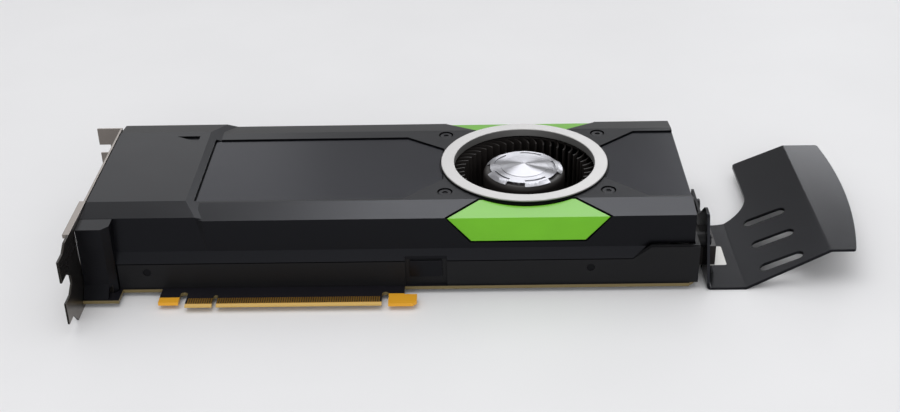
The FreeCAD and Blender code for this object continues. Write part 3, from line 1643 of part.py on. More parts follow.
def extender_bracket():
    below = size.extender_floor - size.sheet_thick
    above = rise(size.ring_top)
    tall = above - below
    disc = cylinder("extender_arc", EXTENDER_TIP - size.extender_arc, size.extender_arc_y, below,
                    size.extender_arc, tall)
    trimmed = common("extender_trimmed", extender_blank(), disc)
    start = FLANGE_FACE - size.sheet_thick * 2
    side_block = box("extender_side", (start, ARM_SIDE),
                     (size.extender_neck, size.extender_rear * 2), (below, above))
    side_cut = rounded("extender_side_round", side_block, size.extender_fillet,
                       lambda edge, middle: near(middle, ARM_SIDE, size.extender_neck))
    tools = [side_cut, flange_lean(), flange_drop(), inlet_gap(), front_trim(below, tall)]
    for index in range(3):
        tools.append(extender_slot(size.extender_slot_low + index * size.extender_slot_pitch, below, tall))
    for y in (size.extender_screw_low, size.extender_screw_high):
        tools.append(cylinder("extender_screw_hole", start, y, rise(size.extender_screw_rise),
                              size.extender_shank + size.screw_clear, size.sheet_thick * 3, "x"))
    cut_out = cut("extender_cut", trimmed, tools)
    cornered = rounded("extender_cornered", cut_out, size.extender_corner, extender_corners)
    return rounded("extender_bracket", cornered, size.ear_round, ear_corners)


def front_trim(below, tall):
    """What is taken off the front of the slope and the raised panel, which stand further back."""
    body = new_body("front_trim")
    plan = sketch(body, "front_trim_outline", "XY_Plane", below)
    out = size.extender_front - size.sheet_thick
    back = size.extender_front + size.raised_set_back
    polygon(plan, [
        (BEND_UP, out),
        (EXTENDER_TIP + size.sheet_thick, out),
        (EXTENDER_TIP + size.sheet_thick, back),
        (BEND_LEVEL, back),
        (BEND_UP, size.extender_front),
    ])
    pad(body, plan, "front_trim_pad", tall)
    return body


def near(point, x, y):
    return abs(point.x - float(x)) < NEAR_ENOUGH and abs(point.y - float(y)) < NEAR_ENOUGH


def extender_corners(edge, middle):
    """The upright edges at the four free corners of the sheet."""
    if abs(edge.tangentAt(edge.FirstParameter).z) < ALIGNED:
        return False
    if near(middle, ARM_SIDE, size.extender_rear):
        return True
    return middle.x > float(BEND_LEVEL + size.extender_corner)


def ear_corners(edge, middle):
    """The two edges across the top of the flange's ear."""
    if abs(edge.tangentAt(edge.FirstParameter).x) < ALIGNED:
        return False
    return middle.z > float(rise(size.extender_flange_top)) - NEAR_ENOUGH


def flange_lean():
    """The wedge taken off the flange's front edge, so that it narrows upwards."""
    body = new_body("flange_lean")
    start = FLANGE_FACE - size.sheet_thick * 2
    outline = sketch(body, "flange_lean_outline", "YZ_Plane", start)
    low = size.extender_floor + size.sheet_thick * 3
    top = rise(size.extender_flange_top) + size.sheet_thick
    polygon(outline, [
        (size.extender_front - size.sheet_thick, low),
        (size.extender_front, low),
        (size.extender_front + size.extender_flange_lean, top),
        (size.extender_front - size.sheet_thick, top),
    ])
    pad(body, outline, "flange_lean_pad", size.sheet_thick * 3)
    return body


def flange_drop():
    """What is taken off the flange behind its front ear."""
    body = new_body("flange_drop")
    start = FLANGE_FACE - size.sheet_thick * 2
    outline = sketch(body, "flange_drop_outline", "YZ_Plane", start)
    top = rise(size.extender_flange_top)
    low = rise(size.flange_rear_rise)
    polygon(outline, [
        (size.ear_rear, top),
        (size.ear_foot, low),
        (size.extender_rear, low),
        (size.extender_rear, top + size.sheet_thick),
        (size.ear_rear, top + size.sheet_thick),
    ])
    pad(body, outline, "flange_drop_pad", size.sheet_thick * 3)
    return body


def inlet_gap():
    """The opening in the flange round the power inlet."""
    margin = size.panel_gap * 2
    start = FLANGE_FACE - size.sheet_thick * 2
    return box("inlet_gap", (start, FLANGE_FACE + size.sheet_thick),
               (size.inlet_low - margin, size.inlet_low + size.inlet_wide + margin),
               (size.extender_floor + size.sheet_thick, rise(size.inlet_high) + margin))


def extender_slot(y, below, tall):
    """A straight slot with round ends through the slope."""
    radius = size.extender_slot_wide / 2
    start = BEND_UP + size.slot_away + radius
    end = BEND_UP + size.slot_away + size.slot_long - radius
    return fuse("extender_slot", [
        cylinder("slot_start", start, y, below, radius, tall),
        cylinder("slot_end", end, y, below, radius, tall),
        box("slot_middle", (start, end), (y - radius, y + radius), (below, below + tall)),
    ])


def extender_screws():
    screws = []
    for y in (size.extender_screw_low, size.extender_screw_high):
        z = rise(size.extender_screw_rise)
        head = cylinder("extender_head", FLANGE_FACE, y, z, size.extender_head,
                        size.extender_head_high, "x")
        shank = cylinder("extender_shank", FLANGE_FACE - size.extender_shank_long, y, z,
                         size.extender_shank, size.extender_shank_long, "x")
        key = hexagon("extender_key", FLANGE_FACE + size.extender_head_high - size.hex_deep, y, z,
                      size.hex_radius, size.hex_deep, "x")
        screws.append(cut("extender_screw", fuse("extender_screw_blank", [head, shank]), [key]))
    return group("extender_screws", screws)


NODES = [
    circuit_board(),
    edge_contacts(),
    *board_parts(),
    *power_inlet(),
    *video_sockets(),
    io_bracket(),
    base_frame(),
    side_cover(),
    side_screws(),
    vapor_chamber(),
    fin_stack(),
    back_brace(),
    spring_screws(),
    frame_screws(),
    shroud_cover(),
    panel("window_panel", window_corners()),
    panel("tail_panel", tail_panel_corners()),
    accent("accent_front", "front"),
    accent("accent_rear", "rear"),
    fan_ring(),
    shroud_screws(),
    fan_base(),
    tube("fan_bearing", size.shaft_radius + size.shaft_clear, size.bearing_radius, size.bearing_low,
         size.sleeve_top),
    fan_stator(),
    rotor_magnet(),
    fan_shaft(),
    fan_impeller(),
    hub_cap(),
    extender_bracket(),
    extender_screws(),
]

doc.recompute()
for item in doc.Objects:
    if "Invalid" in item.State or "Error" in item.State:
        raise RuntimeError(f"{item.Label} did not build: {item.State}")

os.makedirs("parts", exist_ok=True)
for node in NODES:
    if node.Shape.isNull() or not node.Shape.isValid():
        raise RuntimeError(f"{node.Label} has no valid shape")
    node.Shape.exportStep(f"parts/{node.Label}.step")
    print(f"{node.Label}: {len(node.Shape.Solids)} solids, {node.Shape.Volume:.1f} mm3")
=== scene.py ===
# %% [markdown]
# A graphics card on a pale table.
# The card's solids come from the CAD model and stay where they are.
# This file gives them their finishes, rounds the edges that catch the light,
# adds the few pieces that are too thin or too fine for the solids,
# and sets up the table, the light and the camera.

# %% Load the card
import json
import math

import bpy
from mathutils import Matrix, Vector


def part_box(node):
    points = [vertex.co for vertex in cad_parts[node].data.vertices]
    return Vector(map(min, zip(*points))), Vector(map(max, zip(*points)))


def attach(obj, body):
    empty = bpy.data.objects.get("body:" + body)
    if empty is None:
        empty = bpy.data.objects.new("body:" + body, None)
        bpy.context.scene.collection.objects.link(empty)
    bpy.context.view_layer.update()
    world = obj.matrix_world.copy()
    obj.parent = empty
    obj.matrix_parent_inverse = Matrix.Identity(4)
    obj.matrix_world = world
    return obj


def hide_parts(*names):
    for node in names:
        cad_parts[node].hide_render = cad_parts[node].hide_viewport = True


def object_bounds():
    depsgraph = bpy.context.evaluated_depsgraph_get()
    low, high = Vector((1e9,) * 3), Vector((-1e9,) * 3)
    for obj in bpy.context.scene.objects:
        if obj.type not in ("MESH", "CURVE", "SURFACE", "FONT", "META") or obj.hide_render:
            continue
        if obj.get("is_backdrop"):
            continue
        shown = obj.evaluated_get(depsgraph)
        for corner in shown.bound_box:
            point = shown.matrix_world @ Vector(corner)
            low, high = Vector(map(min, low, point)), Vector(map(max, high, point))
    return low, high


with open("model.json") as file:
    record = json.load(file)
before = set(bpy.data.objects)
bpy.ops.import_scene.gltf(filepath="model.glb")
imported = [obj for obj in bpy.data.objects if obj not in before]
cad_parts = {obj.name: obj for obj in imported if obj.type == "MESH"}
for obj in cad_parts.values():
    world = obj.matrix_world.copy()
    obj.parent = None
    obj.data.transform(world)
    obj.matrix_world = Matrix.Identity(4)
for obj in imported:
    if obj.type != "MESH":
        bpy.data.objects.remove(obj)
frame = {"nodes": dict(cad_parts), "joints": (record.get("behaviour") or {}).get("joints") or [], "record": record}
nodes = frame["nodes"]
bounds_at_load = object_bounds()
print("nodes loaded:", len(nodes))
print("card from", bounds_at_load[0], "to", bounds_at_load[1])

# %% [markdown]
# Every finish below is a Principled shader with a pattern on it.
# Colours are written as the hex values that a colour picker shows,
# and a shader works in linear light, so one function turns the first into the second.
# Patterns are sized in millimetres: a texture that repeats every so many millimetres
# gets its scale from that size, because Object coordinates are metres here.
# Nodes could be added, set and linked line by line, but one function that does all three
# keeps each finish short enough to read as a recipe.

# %% Helpers for colours, sizes and nodes
MM = 0.001


def linear(hex_colour):
    """The linear colour of an sRGB hex value such as #69B415."""
    shares = [int(hex_colour[i:i + 2], 16) / 255 for i in (1, 3, 5)]
    light = [s / 12.92 if s <= 0.04045 else ((s + 0.055) / 1.055) ** 2.4 for s in shares]
    return (*light, 1.0)


def every(millimetres):
    """The texture scale that gives one patch of a pattern each so many millimetres."""
    return 1 / (millimetres * MM)


def add_node(tree, kind, inputs=None, **settings):
    """Adds a node, sets its settings, and links or sets each input that is named."""
    node = tree.nodes.new(kind)
    for name, value in settings.items():
        setattr(node, name, value)
    for socket, value in (inputs or {}).items():
        if isinstance(value, bpy.types.NodeSocket):
            tree.links.new(value, node.inputs[socket])
        else:
            node.inputs[socket].default_value = value
    return node


print("one patch each millimetre is a scale of", every(1))

# %% [markdown]
# No real surface is even. Close up it has a fine texture from its mould, its paint or its tool,
# and over some centimetres its gloss and its colour drift a little.
# Photographs of surfaces could give both,
# but noise needs no pictures and is never stretched on any side.
# So a finish starts as a shader with its constants set, and then gets its grain:
# a fine bump of a given patch and height, and a slow cloud that moves roughness and colour.
# Most real textures are finer than a pixel of the picture,
# so the patch is drawn at about half a millimetre or more where the real one would not show.

# %% Helpers for a finish and its grain
CLOUD_SIZE = 18
COLOUR_DRIFT = 0.1


def start_finish(name, colour, sockets):
    """A material with its Principled shader set, and the Object coordinates for its pattern."""
    material = bpy.data.materials.new(name)
    material.use_nodes = True
    tree = material.node_tree
    shader = tree.nodes["Principled BSDF"]
    shader.inputs["Base Color"].default_value = linear(colour)
    for socket, value in sockets.items():
        shader.inputs[socket].default_value = value
    place = add_node(tree, "ShaderNodeTexCoord")
    return material, tree, shader, place.outputs["Object"]


def grain(tree, shader, place, patch, height, rough):
    """A fine bump, and a roughness and a colour that drift; returns the colour."""
    fine = add_node(tree, "ShaderNodeTexNoise",
                    {"Vector": place, "Scale": every(patch), "Detail": 2.0})
    bump = add_node(tree, "ShaderNodeBump",
                    {"Height": fine.outputs["Fac"], "Strength": 1.0, "Distance": height * MM})
    tree.links.new(bump.outputs["Normal"], shader.inputs["Normal"])
    cloud = add_node(tree, "ShaderNodeTexNoise",
                     {"Vector": place, "Scale": every(CLOUD_SIZE), "Detail": 3.0})
    drift = add_node(tree, "ShaderNodeMapRange",
                     {"Value": cloud.outputs["Fac"], "To Min": rough[0], "To Max": rough[1]})
    tree.links.new(drift.outputs["Result"], shader.inputs["Roughness"])
    colour = Vector(shader.inputs["Base Color"].default_value[:3])
    tone = add_node(tree, "ShaderNodeMix",
                    {"Factor": cloud.outputs["Fac"], "A": (*colour * (1 - COLOUR_DRIFT), 1),
                     "B": (*colour * (1 + COLOUR_DRIFT), 1)}, data_type="RGBA")
    tree.links.new(tone.outputs["Result"], shader.inputs["Base Color"])
    return tone.outputs["Result"]


print("a cloud each", CLOUD_SIZE, "mm moves a colour by up to", COLOUR_DRIFT, "of its value")

# %% [markdown]
# The shroud is moulded ABS, black through and through, and the mould gives it its surface.
# Black plastic is seen by what it mirrors, so its colour is nearly nothing
# and the specular level and roughness do the work: the top shows the bright room as an even grey
# and the front, which mirrors the table's shadow, stays black.
# A faint blue tint of the specular part cools that grey.
# A brighter base colour would give the grey more simply, but would lift the front as well.

# %% Moulded black plastics
finishes = {}
# Spark texture, a tenth of a millimetre on the real mould and drawn coarser: an even, soft sheen.
black_abs, tree, shader, place = start_finish(
    "Black ABS, spark-textured moulding", "#08080A",
    {"Specular IOR Level": 0.152, "Specular Tint": linear("#EFF2FF")})
grain(tree, shader, place, patch=0.5, height=0.003, rough=(0.27, 0.32))
finishes["shroud"] = black_abs

# A smoother mould for the let-in panels: a clearer and bluer sheen.
panel_abs, tree, shader, place = start_finish(
    "Black ABS, smooth moulding", "#0D0E13",
    {"Specular IOR Level": 0.16, "Specular Tint": linear("#E5E7FF")})
grain(tree, shader, place, patch=0.4, height=0.002, rough=(0.23, 0.27))
finishes["panel"] = panel_abs

# Glass fibres reach the skin of the nylon: dull, with no clear reflection.
nylon, tree, shader, place = start_finish(
    "Glass-filled nylon, moulded", "#262322", {"Specular IOR Level": 0.2})
grain(tree, shader, place, patch=0.6, height=0.006, rough=(0.40, 0.52))
finishes["dark_plastic"] = nylon
print("plastics:", black_abs.name, "/", panel_abs.name, "/", nylon.name)

# %% [markdown]
# The accents beside the fan are ABS with a satin green lacquer.
# The slope towards the camera mirrors the soft panel behind the card,
# which lays a pale sheen over the colour,
# while the upright face mirrors only the table and keeps the full green.
# Two greens could be painted on the two faces,
# but then the sheen would stay when the card is turned.

# %% Green lacquer
# Sprayed lacquer flows out to a faint peel of about a millimetre: a soft, wide highlight.
green, tree, shader, place = start_finish(
    "Green lacquer on ABS, sprayed", "#69B415", {"Specular IOR Level": 0.39})
grain(tree, shader, place, patch=0.9, height=0.003, rough=(0.38, 0.44))
finishes["accent"] = green
print("accent finish:", green.name)

# %% [markdown]
# The intake ring is cast aluminium, bead blasted and clear anodised.
# A polished ring would show the lamps as streaks, and paint would look chalky.
# A rough metal lies between the two: it scatters the light evenly and looks like flat silver.

# %% Blasted aluminium
# The pits are under a tenth of a millimetre and are drawn larger: even silver without streaks.
silver, tree, shader, place = start_finish(
    "Aluminium, bead blasted and anodised", "#979695", {"Metallic": 1.0})
grain(tree, shader, place, patch=0.5, height=0.004, rough=(0.54, 0.60))
finishes["ring"] = silver
print("ring finish:", silver.name)

# %% [markdown]
# The cap on the hub is pressed from sheet and turned on a lathe.
# The tool leaves fine circles round the axis, and each circle is a small groove
# that throws light inwards and outwards,
# so a reflection is drawn out into bright wedges that meet at the middle.
# The grooves could be a bump, but they are finer than a pixel and would only flicker.
# An anisotropic shader gives their sum, once its tangent is the way
# in which the light is drawn out: here that is the way out from the axis,
# which is found by taking the axis from the place of each point.

# %% Turned metal of the cap
GROOVE = 0.35
TURNED_ROUGH = (0.26, 0.36)
fan_axis = Vector(frame["joints"][0]["pos_m"])
# Grooves of a few hundredths of a millimetre, drawn coarser:
# wedges of light, and faint rings of unequal gloss.
turned, tree, shader, place = start_finish(
    "Aluminium, turned and polished", "#929296", {"Metallic": 1.0, "Anisotropic": 1.0})
way_out = add_node(tree, "ShaderNodeVectorMath", {0: place, 1: fan_axis}, operation="SUBTRACT")
flat_way = add_node(tree, "ShaderNodeVectorMath", {0: way_out.outputs["Vector"], 1: (1, 1, 0)},
                    operation="MULTIPLY")
drawn_out = add_node(tree, "ShaderNodeVectorTransform", {"Vector": flat_way.outputs["Vector"]},
                     vector_type="VECTOR", convert_from="OBJECT", convert_to="WORLD")
tree.links.new(drawn_out.outputs["Vector"], shader.inputs["Tangent"])
radius = add_node(tree, "ShaderNodeVectorMath", {0: flat_way.outputs["Vector"]},
                  operation="LENGTH")
circles = add_node(tree, "ShaderNodeTexNoise",
                   {"W": radius.outputs["Value"], "Scale": every(GROOVE), "Detail": 2.0},
                   noise_dimensions="1D")
gloss = add_node(tree, "ShaderNodeMapRange",
                 {"Value": circles.outputs["Fac"],
                  "To Min": TURNED_ROUGH[0], "To Max": TURNED_ROUGH[1]})
tree.links.new(gloss.outputs["Result"], shader.inputs["Roughness"])
finishes["turned"] = turned
print("cap finish:", turned.name, "about", fan_axis)

# %% [markdown]
# The rear extender is bent sheet steel with a black powder coat,
# the cast base frame is sprayed black, and the small screws are steel blackened in a bath.
# Under a coat a metal is no metal to the eye, so the first two are plain shaders like the plastics,
# and only the screws, whose black is about a micrometre thin, keep a metal's shine.

# %% Coated metals
# Powder melts into a skin with an orange peel of about a millimetre: a smooth, soft sheen.
powder, tree, shader, place = start_finish(
    "Sheet steel, black powder coat", "#0E0E10",
    {"Specular IOR Level": 0.12, "Specular Tint": linear("#EAEEFF")})
grain(tree, shader, place, patch=1.2, height=0.002, rough=(0.18, 0.22))
finishes["extender"] = powder

# Spray follows the rough skin of the casting: dull black.
sprayed, tree, shader, place = start_finish(
    "Cast aluminium, sprayed black", "#131315", {"Specular IOR Level": 0.16})
grain(tree, shader, place, patch=0.7, height=0.01, rough=(0.44, 0.54))
finishes["frame_metal"] = sprayed

# The oxide is thin and dark: a dim glint on the rims of the heads.
oxide, tree, shader, place = start_finish(
    "Steel screw, black oxide", "#1C1C1E", {"Metallic": 1.0})
grain(tree, shader, place, patch=0.4, height=0.004, rough=(0.34, 0.46))
finishes["black_screw"] = oxide
print("coated metals:", powder.name, "/", sprayed.name, "/", oxide.name)

# %% [markdown]
# The bracket and the sockets are steel sheet with a nickel plate.
# Rolled sheet has a grain that runs one way, so its noise is stretched along the sheet.
# The bracket's tongues are sheared after plating, so their cut edges are bare and dull.
# They are painted near black: partly that bare steel, partly painted shade, since they lie in the card's shadow.
# Those edges could be faces with a material of their own,
# but picking them would have to be done again whenever the bracket changes.
# The shader knows such an edge by its normal, which lies across the sheet,
# and by its place near the slot.

# %% Nickel plate with sheared tongues, their edges darkened with painted shade
TONGUES_END = 2.0
EDGE_ON = 0.7
ALONG_SHEET = 0.06
# Plate over rolled steel: a warm grey mirror, blurred along the sheet.
nickel, tree, shader, place = start_finish(
    "Sheet steel, nickel plated", "#7E7873", {"Metallic": 1.0})
rolled = add_node(tree, "ShaderNodeMapping", {"Vector": place, "Scale": (1, ALONG_SHEET, 1)})
plating = grain(tree, shader, rolled.outputs["Vector"],
                patch=0.5, height=0.002, rough=(0.24, 0.32))
spot = add_node(tree, "ShaderNodeSeparateXYZ", {"Vector": place})
facing = add_node(tree, "ShaderNodeSeparateXYZ", {"Vector": place.node.outputs["Normal"]})
across = add_node(tree, "ShaderNodeMath", {0: facing.outputs["X"]}, operation="ABSOLUTE")
edge_on = add_node(tree, "ShaderNodeMath", {0: across.outputs["Value"], 1: EDGE_ON},
                   operation="LESS_THAN")
tongues = add_node(tree, "ShaderNodeMath", {0: spot.outputs["Y"], 1: TONGUES_END * MM},
                   operation="LESS_THAN")
# Cut edges of the tongues: bare steel darkened further with painted shade.
sheared_edge_and_shade = add_node(tree, "ShaderNodeMath",
                   {0: edge_on.outputs["Value"], 1: tongues.outputs["Value"]},
                   operation="MULTIPLY")
plating_with_edge_shade = add_node(tree, "ShaderNodeMix",
                  {"Factor": sheared_edge_and_shade.outputs["Value"], "A": plating, "B": linear("#2C2A28")},
                  data_type="RGBA")
tree.links.new(plating_with_edge_shade.outputs["Result"], shader.inputs["Base Color"])
finishes["steel"] = nickel
print("bracket finish:", nickel.name, "with bare edges below", TONGUES_END, "mm")

# %% [markdown]
# The other bare metals are the aluminium fins, the copper of the vapour chamber and windings,
# and the hard gold on the edge contacts. A metal's colour is the colour of its reflection,
# so a colour, a roughness and a grain are all that each needs,
# and the shader's index of refraction stays as it is.

# %% Bare metals
# Rolled sheet: streaks of light along the fins.
fins, tree, shader, place = start_finish(
    "Aluminium sheet, rolled", "#C4C6C8", {"Metallic": 1.0})
rolled = add_node(tree, "ShaderNodeMapping", {"Vector": place, "Scale": (ALONG_SHEET, 1, 1)})
grain(tree, shader, rolled.outputs["Vector"], patch=0.6, height=0.002, rough=(0.30, 0.42))
finishes["fin"] = fins

# Drawn copper: a soft, warm shine.
copper, tree, shader, place = start_finish("Copper, drawn", "#B87354", {"Metallic": 1.0})
grain(tree, shader, place, patch=0.7, height=0.003, rough=(0.28, 0.42))
finishes["copper"] = copper

# Plated gold takes over the satin of the copper under it: deep yellow without a sharp image.
gold, tree, shader, place = start_finish(
    "Hard gold on nickel, plated", "#D0A04E", {"Metallic": 1.0})
grain(tree, shader, place, patch=0.5, height=0.001, rough=(0.38, 0.48))
finishes["gold"] = gold
print("bare metals:", fins.name, "/", copper.name, "/", gold.name)

# %% [markdown]
# The circuit board is a glass and epoxy laminate under a black solder mask.
# The mask covers the two faces only: cut edges show the laminate, painted dark olive,
# which is partly the laminate's colour and partly painted shade under the card,
# and the bare tab and hook at the two ends of the contacts show it amber.
# The slope at the contact tips is freshly cut and painted pale, without that painted shade.
# A picture could be painted for this, but the places are simple:
# the shader finds the edges by their normal and the other bare places by where they lie.

# %% Where the laminate is bare
TIP_SLOPE = 1.6
FACE_ON = 0.9
TAB = (-24.6, -15.8, 6.6)
HOOK = (74.9, 89.0, 7.8)
# Mask is screened on and cured: near black, slightly blue, with a soft gloss.
board, tree, shader, place = start_finish(
    "Glass epoxy board, black solder mask", "#131217", {"Specular IOR Level": 0.3})
dark_mask = grain(tree, shader, place, patch=0.8, height=0.004, rough=(0.32, 0.42))
spot = add_node(tree, "ShaderNodeSeparateXYZ", {"Vector": place})
facing = add_node(tree, "ShaderNodeSeparateXYZ", {"Vector": place.node.outputs["Normal"]})
upright = add_node(tree, "ShaderNodeMath", {0: facing.outputs["Z"]}, operation="ABSOLUTE")
cut_edge_with_shade = add_node(tree, "ShaderNodeMath", {0: upright.outputs["Value"], 1: FACE_ON},
                    operation="LESS_THAN")
tip_strip = add_node(tree, "ShaderNodeMath", {0: spot.outputs["Y"], 1: TIP_SLOPE * MM},
                     operation="LESS_THAN")
ends = []
for left, right, bare_below in (TAB, HOOK):
    beside = add_node(tree, "ShaderNodeMath",
                      {0: spot.outputs["X"], 1: (left + right) / 2 * MM,
                       2: (right - left) / 2 * MM}, operation="COMPARE")
    below = add_node(tree, "ShaderNodeMath", {0: spot.outputs["Y"], 1: bare_below * MM},
                     operation="LESS_THAN")
    end = add_node(tree, "ShaderNodeMath",
                   {0: beside.outputs["Value"], 1: below.outputs["Value"]}, operation="MULTIPLY")
    ends.append(end.outputs["Value"])
bare_end = add_node(tree, "ShaderNodeMath", {0: ends[0], 1: ends[1]}, operation="MAXIMUM")
print("bare places of the board: cut edges, contact tips and", len(ends), "ends")

# %% [markdown]
# The colours of the board are laid over each other as the maker lays them:
# first the mask, through which the weave of the glass shows faintly, then what is cut away from it.
# Each layer is a Mix whose factor is one of the bare places.

# %% Layers of the board
WEAVE = 2.5
weave = add_node(tree, "ShaderNodeTexNoise",
                 {"Vector": place, "Scale": every(WEAVE), "Detail": 2.0})
mask = add_node(tree, "ShaderNodeMix",
                {"Factor": weave.outputs["Fac"], "A": dark_mask, "B": linear("#1B1A1F")},
                data_type="RGBA")
layers = mask.outputs["Result"]
# The cut edges' dark olive is laminate darkened with painted shade; tips and ends carry none.
for where, colour in ((cut_edge_with_shade, "#6E6140"), (tip_strip, "#C9A55A"), (bare_end, "#E0A22C")):
    layer = add_node(tree, "ShaderNodeMix",
                     {"Factor": where.outputs["Value"], "A": layers, "B": linear(colour)},
                     data_type="RGBA")
    layers = layer.outputs["Result"]
tree.links.new(layers, shader.inputs["Base Color"])
finishes["board"] = board
print("board finish:", board.name)

# %% [markdown]
# Packages on the board: moulded epoxy for chips and coils,
# a green glass laminate under the main chip, and dark ferrite for the ring magnet of the fan.
# They show only through gaps, so they could share one dark finish,
# but the card may be taken apart, and then each has its own look.

# %% Chips, laminate and ferrite
# Moulded in a matt tool: flat dark grey.
epoxy, tree, shader, place = start_finish(
    "Chip epoxy, moulded", "#1E1E20", {"Specular IOR Level": 0.4})
grain(tree, shader, place, patch=0.5, height=0.006, rough=(0.44, 0.6))
finishes["chip"] = epoxy

# Clear green mask over copper and glass: deep green with some gloss.
laminate, tree, shader, place = start_finish(
    "Chip laminate, green mask", "#1F4A33", {"Specular IOR Level": 0.5})
grain(tree, shader, place, patch=0.8, height=0.003, rough=(0.3, 0.42))
finishes["substrate"] = laminate

# Ground ceramic: dark grey with a dull shine.
ferrite, tree, shader, place = start_finish(
    "Ferrite, sintered and ground", "#2C2B2C", {"Specular IOR Level": 0.6})
grain(tree, shader, place, patch=0.6, height=0.008, rough=(0.4, 0.56))
finishes["magnet"] = ferrite
print("finishes made:", len(finishes))

# %% [markdown]
# Each solid names a material slot in the card's record.
# Finishes could be picked solid by solid, but the slots already say
# which solids are made of the same stuff, so the slot picks the finish.
# The cap shares the ring's slot but has its own turned surface,
# and the small cover in the side is moulded from the same black as the shroud.

# %% Dress the solids
slot_of = {part["node"]: part["material_slot"] for part in frame["record"]["subparts"]}
OWN_FINISH = {"hub_cap": "turned", "side_cover": "shroud"}
for name, node in nodes.items():
    node.data.materials.clear()
    node.data.materials.append(finishes[OWN_FINISH.get(name, slot_of[name])])
print("dressed:", len(slot_of))

# %% [markdown]
# Real edges are never sharp: a mould has a small radius and sheet is deburred,
# and that radius is what catches the light.
# A solid from CAD has knife edges and is a heap of loose triangles.
# A shader can fake a round edge, but only in the picture, so the mesh itself is rounded.
# First a copy of the solid is merged, and its flat faces are joined again.

# %% A merged copy of a solid
MERGE_WITHIN = 0.002
FLAT_WITHIN = 0.5


def merged_copy(name):
    """A copy of a solid whose loose triangles are joined into flat faces."""
    bpy.ops.object.select_all(action="DESELECT")
    nodes[name].select_set(True)
    bpy.context.view_layer.objects.active = nodes[name]
    bpy.ops.object.duplicate()
    piece = bpy.context.object
    piece.name = f"{name}_softened"
    bpy.ops.object.mode_set(mode="EDIT")
    bpy.ops.mesh.select_all(action="SELECT")
    bpy.ops.mesh.remove_doubles(threshold=MERGE_WITHIN * MM)
    bpy.ops.mesh.dissolve_limited(angle_limit=math.radians(FLAT_WITHIN))
    bpy.ops.mesh.select_all(action="DESELECT")
    bpy.ops.object.mode_set(mode="OBJECT")
    return piece


print("corners within", MERGE_WITHIN, "mm become one")

# %% [markdown]
# A Bevel modifier then rounds every edge that turns more than a given angle,
# and a Weighted Normal modifier lets the large faces decide the shading,
# so that flat stays flat up to the rounded edge.
# The copy stands for the solid and rides on the same body.

# %% Rounded edges
EDGE_STEPS = 2


def body_of(name):
    """The body that carries a solid."""
    bodies = frame["record"]["behaviour"]["bodies"]
    return next(body for body, names in bodies.items() if name in names)


def soften(piece, name, width, turn):
    """Rounds the edges that turn more than so many degrees, and puts the copy for the solid."""
    bpy.ops.object.shade_smooth_by_angle(angle=math.radians(turn))
    round_edges = piece.modifiers.new("rounded edges", "BEVEL")
    round_edges.limit_method = "ANGLE"
    round_edges.angle_limit = math.radians(turn)
    round_edges.width = width * MM
    round_edges.segments = EDGE_STEPS
    bpy.ops.object.modifier_apply(modifier=round_edges.name)
    even = piece.modifiers.new("even shading", "WEIGHTED_NORMAL")
    even.keep_sharp = True
    bpy.ops.object.modifier_apply(modifier=even.name)
    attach(piece, body_of(name))
    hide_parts(name)
    return piece


print("each edge is rounded in", EDGE_STEPS, "steps")

# %% [markdown]
# Each piece has its own radius in millimetres,
# from a third of one on mouldings to a few hundredths on thin sheet.
# The angle tells an edge from a curve.
# The shroud's facets meet at shallow angles and have to stay crisp,
# while turned and cast pieces have curves made of many small steps, which have to stay smooth.

# %% Choose the radii
FACETED = 10
SHEET = 20
TURNED = 28
EDGES = {
    "shroud_cover": (0.35, FACETED),
    "window_panel": (0.2, FACETED),
    "tail_panel": (0.2, FACETED),
    "accent_front": (0.35, FACETED),
    "accent_rear": (0.35, FACETED),
    "fan_ring": (0.3, TURNED),
    "base_frame": (0.3, TURNED),
    "extender_bracket": (0.2, SHEET),
    "io_bracket": (0.08, SHEET),
    "hub_cap": (0.06, TURNED),
    "shroud_screws": (0.15, TURNED),
    "extender_screws": (0.15, TURNED),
    "power_inlet": (0.15, TURNED),
    "side_cover": (0.1, TURNED),
}
soft_pieces = {name: soften(merged_copy(name), name, width, turn)
               for name, (width, turn) in EDGES.items()}
for name, piece in soft_pieces.items():
    print(piece.name, len(piece.data.polygons), "faces")

# %% [markdown]
# The hub under the cap has a round shoulder that shows as a dark grey band below the bright cap.
# The Bevel modifier gives all edges of a piece one radius,
# and this one is much larger than the blades' edges, so it is made first, in edit mode.
# Its rim is one circle of edges:
# those whose two ends lie at the hub's radius and at its greatest height.
# They are picked by their place and bevelled, wide and in several steps.
# The fine blades then get a small rounding like the other pieces.

# %% Round the shoulder of the hub
HUB_RADIUS = 18.8
SHOULDER = 2.4
SHOULDER_STEPS = 5
BLADE_EDGE = 0.08
ON_WALL = 0.05
ON_RIM = 0.01
impeller = merged_copy("fan_impeller")
corners = impeller.data.vertices
wall_gaps = [(corner.co - fan_axis).to_2d().length - HUB_RADIUS * MM for corner in corners]
on_wall = [abs(gap) < ON_WALL * MM for gap in wall_gaps]
rim_height = max(corner.co.z for corner, on in zip(corners, on_wall) if on)
on_rim = [on and abs(corner.co.z - rim_height) < ON_RIM * MM
          for corner, on in zip(corners, on_wall)]
for edge in impeller.data.edges:
    edge.select = all(on_rim[corner] for corner in edge.vertices)
picked = sum(edge.select for edge in impeller.data.edges)
bpy.ops.object.mode_set(mode="EDIT")
bpy.ops.mesh.select_mode(type="EDGE")
bpy.ops.mesh.bevel(offset=SHOULDER * MM, segments=SHOULDER_STEPS)
bpy.ops.object.mode_set(mode="OBJECT")
soft_pieces["fan_impeller"] = soften(impeller, "fan_impeller", BLADE_EDGE, TURNED)
print("rim edges:", picked, "at", round(rim_height / MM, 2), "mm")

# %% [markdown]
# Inside the sleeve of the wide display socket sits a moulded block
# with three rows of contact holes and a slot for the flat blade.
# Each hole could be cut with a Boolean, which is slow and leaves thin faces.
# A grid is the quicker start: every other cell is a hole, so nothing has to be cut.
# It is added with the size of the sleeve's inside and turned to face out of the bracket.

